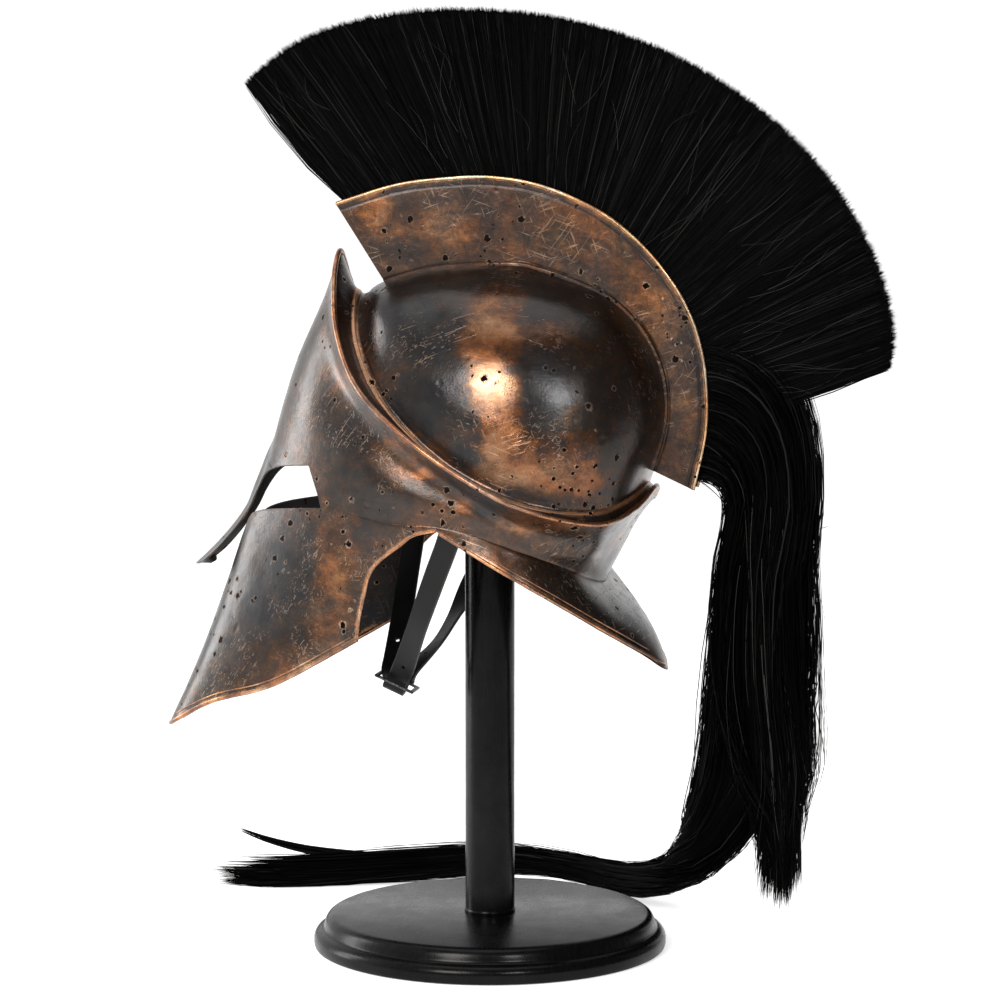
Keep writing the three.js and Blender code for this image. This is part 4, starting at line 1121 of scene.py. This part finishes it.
p = vertices(holder)
lip_lines = [np.column_stack([np.full(len(rim_side), side * CREST_HALF), rim_side]) for side in (1, -1)]
away = distance_to(lip_lines, p)
CREST_BLOBS = [
    ((13, -86, 562), (10, 14, 16), 0.30), ((13, -30, 556), (10, 30, 16), 0.20),
    ((13, 130, 484), (10, 26, 40), 0.22), ((13, -66, 535), (10, 22, 14), -0.22),
    ((-13, 0, 560), (10, 60, 16), 0.24), ((13, 60, 560), (10, 30, 12), 0.10),
]
groove = np.exp(-(((away - 5.4) / 1.0) ** 2))
set_attribute(holder, "bare", np.clip(bareness(p, CREST_BLOBS, 65) - 0.5 * groove, 0, 1))
set_attribute(holder, "edge", np.exp(-((away / 2.6) ** 2)))
finish_piece(holder, CREST_BRONZE, "bronze", "crest_holder")

# ---------------------------------------------------------------- hair


def ribbons(name, paths, side, width, shade, material):
    """Many hairs as one mesh: flat ribbons along paths (hairs, points, 3), each ending in a point."""
    count, points, _ = paths.shape
    side = side / np.maximum(np.linalg.norm(side, axis=-1, keepdims=True), 1e-9)
    if side.ndim == 2:
        side = side[:, None, :]
    taper = np.linspace(1, 0.55, points)[None, :, None] * width[:, None, None] / 2
    left = (paths + side * taper)[:, :-1]
    right = (paths - side * taper)[:, :-1]
    per_hair = 2 * (points - 1) + 1
    body = np.stack([left, right], 2).reshape(count, -1, 3)
    everything = np.concatenate([body, paths[:, -1:]], 1).reshape(-1, 3)
    base = np.arange(count)[:, None] * per_hair
    k = np.arange(points - 2)[None, :] * 2
    quads = np.stack([base + k, base + k + 1, base + k + 3, base + k + 2], -1).reshape(-1, 4)
    last = 2 * (points - 2)
    tips = np.concatenate([base + last, base + last + 1, base + per_hair - 1], 1)
    hair = mesh_object(name, everything, quads.tolist() + tips.tolist())
    set_attribute(hair, "shade", np.repeat(shade, per_hair))
    finish_piece(hair, material, "hair")
    return hair


def hair_shades(rng, count):
    """Mostly black, in tones that differ at random, with a few hairs painted lighter as a painted sheen."""
    # About one hair in sixteen gets a much lighter tone: painted sheen, standing in for highlights along
    # single hairs.
    painted_sheen = rng.uniform(0, 1, count) < 0.06
    return np.where(painted_sheen, rng.uniform(0.3, 1, count), rng.beta(1.1, 7, count) * 0.4)


def brush_place(s, w):
    """Root and tip of the bristle at s along the brush, 0 to 1, and w across it, -1 to 1."""
    span = BRUSH_SPAN[0] + (BRUSH_SPAN[1] - BRUSH_SPAN[0]) * s
    rim = spline(CREST_RIM, span)
    tip = spline(BRUSH_EDGE, s)
    inward = CREST_CENTRE - rim
    inward /= np.linalg.norm(inward, axis=-1, keepdims=True)
    root = rim + inward * 6
    across = w * (CREST_HALF - SHEET - 0.8)
    return np.column_stack([across, root]), np.column_stack([w * BRUSH_TOP_HALF, tip])


def brush_core():
    """The dense middle of the brush, a little inside its outer form, ridged like packed hair."""
    steps, ribs = 260, 26  # along the brush, and from root to tip
    rings = []
    for s in np.linspace(0.006, 0.994, steps):
        root, tip = brush_place(np.full(2, s), np.array([1.0, -1.0]))
        root, tip = root[0], tip[0]
        up = np.linspace(0, 1, ribs)
        half = []
        for t in up:
            p = root + (tip - root) * t * 0.982
            p[0] = (root[0] - 1.0) + (tip[0] * 0.90 - root[0] + 1.0) * t
            half.append(p)
        rings.append(np.array(half + [q * MIRROR for q in half[::-1]]))
    rings = np.array(rings)
    m = rings.shape[1]
    flat = rings.reshape(-1, 3)
    s_index = np.repeat(np.arange(steps), m)
    ridge = np.array([noise.noise(Vector((i * 0.55, 0.2, x * 0.02))) for i, x in zip(s_index, flat[:, 0])])
    flat[:, 0] += np.sign(flat[:, 0]) * ridge * 0.8
    faces = capped_faces(steps, m)
    core = mesh_object("brush_core", flat, faces)
    face_outwards(core)
    set_attribute(core, "shade", np.clip(ridge[: len(flat)] * 0.5 + 0.3, 0, 1))
    return finish_piece(core, HAIR_CORE, "hair", "brush_plume")


def bristles(name, count, s, w, reach, width, seed):
    """Bristles fanned out from the holder to the trimmed edge, gathered in small tufts."""
    rng = np.random.default_rng(seed)
    tuft = rng.normal(0, 1, (900, 3))
    which = np.minimum((s * 899).astype(int), 898)
    root, tip = brush_place(s, w)
    way = tip - root
    length = np.linalg.norm(way, axis=1, keepdims=True)
    way /= length
    sideways = np.cross(way, [1.0, 0, 0])
    drift = tuft[which, 0:1] * 1.5 + rng.normal(0, 1.3, (count, 1))
    bow = rng.normal(0, 1.6, (count, 1)) + tuft[which, 1:2] * 1.1
    t = np.array([0, 0.35, 0.7, 0.95, 1])[None, :, None]
    paths = root[:, None] + way[:, None] * (length * reach[:, None])[:, None] * t
    paths += sideways[:, None] * (drift[:, None] * t**1.5 + bow[:, None] * np.sin(np.pi * t))
    paths[..., 0] += rng.normal(0, 0.5, (count, 1)) * t[..., 0]
    face = np.cross(way, [1.0, 0, 0]) + np.array([1.0, 0, 0]) * rng.normal(0, 0.55, (count, 1))
    shade = np.clip(hair_shades(rng, count) + tuft[which, 2] * 0.03, 0, 1)
    return ribbons(name, paths, face, rng.uniform(width * 0.7, width * 1.25, count), shade, HAIR)


def brush():
    rng = np.random.default_rng(17)
    brush_core()
    for name, sign, seed in (("brush_hair_left", 1, 1), ("brush_hair_right", -1, 2)):
        count = 15000 if sign > 0 else 9500
        s = rng.uniform(0, 1, count)
        w = sign * (1 - np.abs(rng.normal(0, 0.10, count)))
        reach = 1 + np.clip(rng.normal(-0.004, 0.012, count), -0.03, 0.022)
        bristles(name, count, s, w, reach, 0.8 if sign > 0 else 0.95, 100 + seed)
    count = 9000
    s = rng.uniform(0, 1, count)
    ends = rng.uniform(0, 1, count)
    s = np.where(ends < 0.16, rng.uniform(0, 0.02, count), s)
    s = np.where(ends > 0.84, rng.uniform(0.98, 1, count), s)
    w = rng.uniform(-1, 1, count)
    bristles("brush_hair_middle", count, s, w, 1 + rng.normal(-0.004, 0.005, count), 1.0, 103)
    stray_bristles(rng)


def stray_bristles(rng):
    """A few lighter hairs lying loose over the brush."""
    count = 70
    s = rng.uniform(0, 1, count)
    w = np.where(rng.uniform(0, 1, count) < 0.6, 1, -1) * rng.uniform(0.98, 1.05, count)
    root, tip = brush_place(s, w)
    start = rng.uniform(0.05, 0.6, (count, 1))
    end = start + rng.uniform(0.2, 0.5, (count, 1))
    way = tip - root
    sideways = np.cross(way / np.linalg.norm(way, axis=1, keepdims=True), [1.0, 0, 0])
    t = np.linspace(0, 1, 12)[None, :, None]
    paths = (root + way * start)[:, None] + way[:, None] * ((end - start)[:, None] * t)
    lean = rng.normal(0, 13, (count, 1, 1)) * t
    curl = rng.normal(0, 5, (count, 1, 1)) * np.sin(3 * t)
    paths += sideways[:, None] * (lean + curl)
    paths[..., 0] += np.sign(w)[:, None] * 0.8
    width = rng.uniform(0.16, 0.28, count)
    ribbons("brush_stray_hair", paths, sideways, width, rng.beta(1, 2, count), STRAY_HAIR)


brush()


def tail_frame(stations, t):
    """Middle, wide and thick half-vectors of the tail's section at stations t."""
    rows = np.array([[*at, wide, thick, *across] for at, wide, thick, across in stations], float)
    t = np.asarray(t, float)
    last = len(rows) - 1
    value = spline(rows, t / last)
    ahead = spline(rows[:, :3], np.minimum(t + 0.05, last) / last)
    behind = spline(rows[:, :3], np.maximum(t - 0.05, 0) / last)
    along = ahead - behind
    along /= np.linalg.norm(along, axis=-1, keepdims=True)
    wide = np.cross(along, value[..., 5:8])
    wide /= np.linalg.norm(wide, axis=-1, keepdims=True)
    across = np.cross(wide, along)
    return value[..., :3], wide * value[..., 3:4], across * value[..., 4:5]


def tail_core():
    """The dense middle of each bundle, ridged like packed hair."""
    ribs = 32
    parts = []
    bundles = ((LONG_HAIR, 0.1, 0.5, 0.80), (SHORT_HAIR, 0.1, 1.6, 0.74), (UPPER_LOCK, 0.1, 0.4, 0.6))
    for stations, start, short, size in bundles:
        last = len(stations) - 1
        t = np.linspace(start, last - short, 90)
        at, wide, thick = tail_frame(stations, t)
        angle = np.linspace(0, 2 * np.pi, ribs + 1)[:-1]
        ridge = np.array([[noise.noise(Vector((k * 1.2, s * 0.25, 3))) for k in range(ribs)] for s in t])
        ends = smooth(0, 0.8, t - start) * smooth(0, 0.9, last - short - t)
        radius = (size * (0.15 + 0.85 * ends))[:, None, None] * (1 + 0.10 * ridge)[..., None]
        points = at[:, None] + radius * (wide[:, None] * np.cos(angle)[None, :, None]
                                         + thick[:, None] * np.sin(angle)[None, :, None])
        points[..., 2] = np.maximum(points[..., 2], 1.2)
        faces = capped_faces(len(t), ribs)
        parts.append((points.reshape(-1, 3), faces))
    core = mesh_object("tail_core", *joined(parts))
    face_outwards(core)
    set_attribute(core, "shade", np.clip(noise_at(vertices(core), 8, 5) * 0.4 + 0.3, 0, 1))
    return finish_piece(core, HAIR_CORE, "hair", "tail_plume_hanging", "tail_plume_trailing")


def tail_paths(rng, count, stations, start, end, samples, spread, clumps):
    """Wavy hairs along a bundle: each keeps its place in the section, drawn to the middle of its lock."""
    lock_angle = rng.uniform(0, 2 * np.pi, clumps)
    lock_radius = np.sqrt(rng.uniform(0.15, 1, clumps)) * 0.92
    which = rng.integers(0, clumps, count)
    angle = lock_angle[which] + rng.normal(0, 0.16, count)
    radius = np.clip(lock_radius[which] + rng.normal(0, 0.10, count), 0, spread)
    t = start[:, None] + (end - start)[:, None] * np.linspace(0, 1, samples)[None]
    at, wide, thick = tail_frame(stations, t)
    phase = rng.uniform(0, 2 * np.pi, (clumps, 3))[which]
    waver = 0.10 * np.sin(t * 0.9 + phase[:, 0:1]) + rng.normal(0, 0.03, (count, 1)) * (t - start[:, None])
    swirl = 0.16 * np.sin(t * 0.7 + phase[:, 1:2])
    a = angle[:, None] + waver + swirl
    r = radius[:, None] * (1 + 0.07 * np.sin(t * 1.3 + phase[:, 2:3]))
    paths = at + wide * (r * np.cos(a))[..., None] + thick * (r * np.sin(a))[..., None]
    paths[..., 2] = np.maximum(paths[..., 2], 0.8)
    return paths, which, a, wide, thick


def ribbon_sides(paths, rng, a, wide, thick):
    """Width directions that lie in the surface of the bundle, with some turn."""
    along = np.gradient(paths, axis=1)
    along /= np.maximum(np.linalg.norm(along, axis=-1, keepdims=True), 1e-9)
    outward = wide * np.cos(a)[..., None] + thick * np.sin(a)[..., None]
    side = np.cross(along, outward)
    side /= np.maximum(np.linalg.norm(side, axis=-1, keepdims=True), 1e-9)
    outward /= np.maximum(np.linalg.norm(outward, axis=-1, keepdims=True), 1e-9)
    turn = rng.normal(0, 0.6, (len(paths), 1, 1))
    return side * np.cos(turn) + outward * np.sin(turn)


def over_the_edge(rng, start):
    """The first stretch of each hair: out of the holder's rear edge, over and down into the tail."""
    count = len(start)
    outer = np.clip((start[:, 1] - 182) / 74, 0, 1)
    z = np.maximum(368 + 118 * outer + rng.normal(0, 5, count), 366)
    y = np.interp(z, [357, 400, 440, 472, 502], [158, 167, 167, 161, 148]) - 7
    x = np.clip(start[:, 0] * 0.5 + rng.normal(0, 2, count), -10, 10)
    turn = np.linspace(0, np.pi / 2, 10)[:-1]
    across, down = np.sin(turn)[None], np.cos(turn)[None]
    bulge = rng.normal(0, 1.5, count)[:, None] * np.sin(2 * turn)[None]
    path_y = y[:, None] + (start[:, 1] - y)[:, None] * across**0.86 + bulge
    path_z = start[:, 2, None] + (z - start[:, 2])[:, None] * down**0.80 + bulge
    side = np.sign(start[:, 0])[:, None] * np.abs(start[:, 0] / 18)[:, None]
    path_x = x[:, None] + (start[:, 0] - x)[:, None] * across**0.7 + side * 6.5 * np.sin(2 * turn)[None]
    return np.stack([path_x, path_y, path_z], -1)


def tail():
    rng = np.random.default_rng(23)
    tail_core()
    long_ends = len(LONG_HAIR) - 1 - np.abs(rng.normal(0, 1.1, 2700))
    short_ends = 8 - np.abs(rng.normal(0, 1.7, 3000))
    groups = (("tail_hair_long", LONG_HAIR, long_ends, 22, 60),
              ("tail_hair_short", SHORT_HAIR, short_ends, 15, 46))
    for name, stations, end, samples, clumps in groups:
        count = len(end)
        start = rng.uniform(1.2, 1.8, count)
        paths, which, a, wide, thick = tail_paths(rng, count, stations, start, end, samples, 1.04, clumps)
        bend = over_the_edge(rng, paths[:, 0])
        paths = np.concatenate([bend, paths], 1)
        a, wide, thick = (np.concatenate([np.repeat(q[:, :1], 9, 1), q], 1) for q in (a, wide, thick))
        ragged = rng.normal(0, 1, (clumps, 3))[which] * [3, 9, 5] + rng.normal(0, 1.8, (count, 3))
        far = smooth(0.72, 1.0, np.linspace(0, 1, paths.shape[1]))[None, :, None]
        paths = paths + ragged[:, None] * far
        paths[..., 2] = np.maximum(paths[..., 2], 1.0)
        sides = ribbon_sides(paths, rng, a, wide, thick)
        shade = np.clip(hair_shades(rng, count) + rng.normal(0, 0.03, clumps)[which], 0, 1)
        ribbons(name, paths, sides, rng.uniform(0.75, 1.35, count), shade, HAIR)
    count = 700
    ends = 5 - np.abs(rng.normal(0, 0.5, count))
    paths, which, a, wide, thick = tail_paths(rng, count, UPPER_LOCK, np.zeros(count), ends, 14, 1.0, 9)
    sides = ribbon_sides(paths, rng, a, wide, thick)
    ribbons("tail_hair_upper_lock", paths, sides, rng.uniform(0.5, 0.9, count), rng.beta(1.5, 4, count), HAIR)
    count = 240
    start = rng.uniform(0.9, 5, count)
    paths, which, a, wide, thick = tail_paths(
        rng, count, SHORT_HAIR, start, np.minimum(start + rng.uniform(1, 4, count), 8), 22, 1.06, 60)
    drift = np.cumsum(np.cumsum(rng.normal(0, 0.09, paths.shape), axis=1), axis=1)
    paths = paths + drift * [1, 1, 0.4]
    paths[..., 2] = np.maximum(paths[..., 2], 1.0)
    sides = ribbon_sides(paths, rng, a, wide, thick)
    width = rng.uniform(0.2, 0.36, count)
    ribbons("tail_stray_hair", paths, sides, width, rng.uniform(0, 1, count), STRAY_HAIR)


tail()

# ---------------------------------------------------------------- straps and buckle

STRAP_RIGHT = [[-80.5, -76, 318], [-77, -77, 304], [-60, -78, 276], [-36, -78, 244], [-14, -78, 220],
               [-5.8, -78, 212]]
STRAP_LEFT = [[90, -11, 338], [86, -15, 322], [69, -29, 292], [45, -46, 256], [18, -62, 222],
              [5.8, -69, 209.5]]
STRAP_NAPE = [[-89.5, 20, 332], [-87, 5, 313], [-79, -24, 283], [-62, -39.5, 249], [-33, -49, 229],
              [0.4, -63, 212.5]]
BUCKLE_MIDDLE = np.array([0, -73, 203.0])
BUCKLE_TILT = math.radians(-24)


def strap_section():
    """Half of the outline of a strap's section, with rounded and slightly raised edges."""
    w, h, r = STRAP_WIDTH / 2, STRAP_THICKNESS / 2, 0.6
    outline = []
    corners = ((w - r, h - r, 0), (-w + r, h - r, 90), (-w + r, -h + r, 180), (w - r, -h + r, 270))
    for cx, cy, start in corners:
        for step in range(4):
            angle = math.radians(start + step * 30)
            outline.append((cx + r * math.cos(angle), cy + r * math.sin(angle)))
        if start in (0, 180):
            sign = 1 if start == 0 else -1
            for x in np.linspace(w - 1.6, -w + 1.6, 13) * sign:
                dip = 0.14 if abs(abs(x) - (w - 2.2)) < 0.5 else 0.0
                outline.append((x, sign * (h - dip)))
    return outline


def strap(name, points, across, node, holes):
    """A strap along points; across holds its width direction at even places along it."""
    steps = 90
    middle = even_spline(points, steps)
    directions = spline(across, np.linspace(0, 1, steps))
    along = np.gradient(middle, axis=0)
    along /= np.linalg.norm(along, axis=1, keepdims=True)
    section = np.array(strap_section())
    rings = []
    for i in range(steps):
        wide = directions[i] - along[i] * np.dot(directions[i], along[i])
        wide /= np.linalg.norm(wide)
        face = np.cross(along[i], wide)
        rings.append(middle[i] + section[:, 0:1] * wide + section[:, 1:2] * face)
    rings = np.array(rings)
    m = rings.shape[1]
    faces = capped_faces(steps, m)
    piece = mesh_object(name, rings.reshape(-1, 3), faces)
    face_outwards(piece)
    for place in holes:
        i = int(place * (steps - 1))
        wide = rings[i][0] - rings[i][m // 2]
        face = np.cross(along[i], wide / np.linalg.norm(wide))
        bpy.ops.object.select_all(action="DESELECT")
        bpy.ops.mesh.primitive_cylinder_add(
            vertices=20, radius=1.7 * MM, depth=8 * MM, location=middle[i] * MM)
        punch = bpy.context.active_object
        punch.rotation_euler = Vector(face).to_track_quat("Z", "Y").to_euler()
        bpy.context.view_layer.update()
        apply_modifier(piece, "BOOLEAN", operation="DIFFERENCE", solver="MANIFOLD", object=punch)
        bpy.data.objects.remove(punch)
    p = vertices(piece)
    closest = np.linalg.norm(p[:, None] - middle[None], axis=2).argmin(1)
    off = np.abs(np.einsum("ij,ij->i", p - middle[closest],
                           (rings[closest, 0] - rings[closest, m // 2]) / STRAP_WIDTH))
    set_attribute(piece, "edge", smooth(STRAP_WIDTH / 2 - 0.75, STRAP_WIDTH / 2 - 0.15, off))
    shade_by_angle(piece, 40)
    return finish_piece(piece, LEATHER, "leather", node)


strap("chin_strap_right_leather", STRAP_RIGHT + [[-4.9, -76.5, 205.5]],
      [[0, 1, 0], [0, 1, 0.1], [0, 1, -0.15]], "chin_strap_right", [0.76])
strap("chin_strap_left_leather", STRAP_LEFT + [[5.0, -71.5, 204.5]],
      [[0, 1, -0.45], [0.25, 1, -0.3], [0.5, 0.9, -0.2], [0.1, 1, -0.15]], "chin_strap_left", [0.9])
strap("nape_strap_leather", STRAP_NAPE + [[1.5, -67, 206]],
      [[0, 1, 0.2], [0.1, 1, 0.4], [0.3, 0.8, 0.5], [0.3, 0.9, -0.1]], "nape_strap", [0.84])


def tilt(points):
    """From the buckle's own frame to the helmet's."""
    c, s = math.cos(BUCKLE_TILT), math.sin(BUCKLE_TILT)
    p = np.asarray(points, float)
    return np.column_stack([p[:, 0], p[:, 1] * c - p[:, 2] * s, p[:, 1] * s + p[:, 2] * c]) + BUCKLE_MIDDLE


def buckle():
    """A flat frame with a slot, cut from a plate and rounded along its edges."""
    bpy.ops.object.select_all(action="DESELECT")
    bpy.ops.mesh.primitive_cube_add(size=1)
    frame_piece = bpy.context.active_object
    frame_piece.name = "strap_buckle"
    bpy.ops.object.mode_set(mode="EDIT")
    bpy.ops.mesh.select_all(action="SELECT")
    bpy.ops.transform.resize(value=(26 * MM, 33 * MM, 2 * MM))
    bpy.ops.mesh.select_mode(type="FACE")
    bpy.ops.mesh.select_all(action="DESELECT")
    b = bmesh.from_edit_mesh(frame_piece.data)
    for face in b.faces:
        face.select_set(abs(face.normal.z) > 0.9)
    bmesh.update_edit_mesh(frame_piece.data)
    bpy.ops.mesh.inset(thickness=3 * MM)
    bpy.ops.mesh.bridge_edge_loops()
    bpy.ops.object.mode_set(mode="OBJECT")
    apply_modifier(frame_piece, "BEVEL", width=0.7 * MM, segments=4, limit_method="ANGLE")
    p = tilt(vertices(frame_piece)) * MM
    frame_piece.data.vertices.foreach_set("co", p.astype(np.float32).ravel())
    frame_piece.data.update()
    face_outwards(frame_piece)
    set_attribute(frame_piece, "edge", np.full(len(frame_piece.data.vertices), 0.5))
    shade_by_angle(frame_piece, 35)
    finish_piece(frame_piece, STEEL, "buckle_steel", "buckle")


def strap_fold():
    """The loop of strap under the buckle, swept round a half circle with rounded edges."""
    line = [[-5.8, 3.0]] + [[-5.8 * math.cos(a), -2.6 - 4.7 * math.sin(a)] for a in np.linspace(0, np.pi, 21)]
    line = np.array(line + [[5.8, 3.0]])
    section = np.array(strap_section())
    way = np.gradient(line, axis=0)
    way /= np.linalg.norm(way, axis=1, keepdims=True)
    rings = []
    for (x, z), (dx, dz) in zip(line, way):
        rings.append([(x - dz * b, a, z + dx * b) for a, b in section])
    rings = np.array(rings)
    steps, m = rings.shape[:2]
    faces = capped_faces(steps, m)
    flat = rings.reshape(-1, 3)
    piece = mesh_object("strap_fold_leather", tilt(flat), faces)
    edge = smooth(STRAP_WIDTH / 2 - 0.75, STRAP_WIDTH / 2 - 0.15, np.abs(flat[:, 1]))
    set_attribute(piece, "edge", edge)
    face_outwards(piece)
    shade_by_angle(piece, 40)
    finish_piece(piece, LEATHER, "leather", "strap_fold")


buckle()
strap_fold()

# ---------------------------------------------------------------- stand


def turned(name, profile, sides, bevel):
    """A turned piece: a disc extruded and scaled along its profile of [radius, height] in millimetres."""
    bpy.ops.object.select_all(action="DESELECT")
    r, z = profile[0]
    bpy.ops.mesh.primitive_circle_add(
        vertices=sides, radius=r * MM, fill_type="NGON", location=(0, 0, z * MM))
    piece = bpy.context.active_object
    piece.name = name
    bpy.ops.object.transform_apply(location=True, rotation=True, scale=True)
    bpy.ops.object.mode_set(mode="EDIT")
    bpy.ops.mesh.select_all(action="SELECT")
    for radius, height in profile[1:]:
        bpy.ops.mesh.extrude_region_move(TRANSFORM_OT_translate={"value": (0, 0, (height - z) * MM)})
        bpy.ops.transform.resize(value=(radius / r, radius / r, 1))
        r, z = radius, height
    bpy.ops.object.mode_set(mode="OBJECT")
    face_outwards(piece)
    if bevel:
        apply_modifier(piece, "BEVEL", width=bevel * MM, segments=3, limit_method="ANGLE",
                       angle_limit=math.radians(25))
    shade_by_angle(piece, 35)
    return piece


BASE = [[133, 0], [135.2, 1], [136, 3.5], [136, 8], [135.4, 10], [134.2, 12], [132.6, 13.4],
        [130.2, 14.4], [129.4, 14.8], [128.6, 15.8], [128.1, 17.2], [127.5, 19.4], [126.6, 21.6],
        [125.2, 23.6], [123.4, 24.9], [121, 26]]
POST = [[19.6, 25.9], [19.6, 28], [19, 29], [19, 503], [18.5, 507], [17.3, 511], [14.8, 514],
        [10.5, 516], [5, 516.8]]
finish_piece(turned("stand_base_turned", BASE, 192, 0.25), WOOD, "stand_wood", "stand_base")
finish_piece(turned("stand_post_turned", POST, 72, 0.2), WOOD, "stand_wood", "stand_post")

# ---------------------------------------------------------------- floor and light


def floor():
    bpy.ops.object.select_all(action="DESELECT")
    bpy.ops.mesh.primitive_plane_add(size=60)
    ground = bpy.context.active_object
    ground.name = "studio_floor"
    material, _, shader = new_material("studio floor")
    shader.inputs["Base Color"].default_value = (0.86, 0.86, 0.86, 1)
    shader.inputs["Roughness"].default_value = 0.9
    shader.inputs["Specular IOR Level"].default_value = 0.1
    shader.inputs["Emission Color"].default_value = (1, 1, 1, 1)
    shader.inputs["Emission Strength"].default_value = 0.6
    ground.data.materials.append(material)


def lamp(name, place, aim, size, power, color=(1, 1, 1), height=None):
    data = bpy.data.lights.new(name, "AREA")
    data.shape = "RECTANGLE" if height else "DISK"
    data.size = size
    if height:
        data.size_y = height
    data.energy = power
    data.color = color
    light = bpy.data.objects.new(name, data)
    bpy.context.collection.objects.link(light)
    light.location = place
    light.rotation_euler = (Vector(aim) - Vector(place)).to_track_quat("-Z", "Y").to_euler()
    light.visible_camera = False


def studio():
    floor()
    lamp("key softbox", (2.38, -0.66, 1.46), (0.09, 0.015, 0.44), 1.08, 48, (1.0, 0.97, 0.94))
    lamp("side softbox", (2.24, 1.17, 1.38), (0.084, 0.075, 0.421), 0.5, 16, (0.95, 0.97, 1.0))
    lamp("front softbox", (-0.28, -2.35, 0.67), (0.03, -0.19, 0.29), 0.7, 30, (1, 1, 1), 1.6)
    lamp("overhead", (0.2, 0, 2.7), (0, 0, 0), 2.4, 21)
    world = bpy.data.worlds.new("studio")
    bpy.context.scene.world = world
    world.use_nodes = True
    tree = world.node_tree
    tree.nodes.clear()
    out = tree.nodes.new("ShaderNodeOutputWorld")
    background = tree.nodes.new("ShaderNodeBackground")
    background.inputs["Color"].default_value = (1, 1, 1, 1)
    direction = tree.nodes.new("ShaderNodeTexCoord")
    split = tree.nodes.new("ShaderNodeVectorMath")
    split.operation = "DOT_PRODUCT"
    split.inputs[1].default_value = (-0.62, -0.78, 0.0)
    tree.links.new(direction.outputs["Generated"], split.inputs[0])
    bright = tree.nodes.new("ShaderNodeMapRange")
    bright.interpolation_type = "SMOOTHSTEP"
    bright.inputs["From Min"].default_value = -0.35
    bright.inputs["From Max"].default_value = 0.62
    bright.inputs["To Min"].default_value = 0.11
    bright.inputs["To Max"].default_value = 1.08
    tree.links.new(split.outputs["Value"], bright.inputs["Value"])
    tree.links.new(bright.outputs["Result"], background.inputs["Strength"])
    tree.links.new(background.outputs["Background"], out.inputs["Surface"])
    bpy.context.scene.view_settings.view_transform = "Standard"


studio()
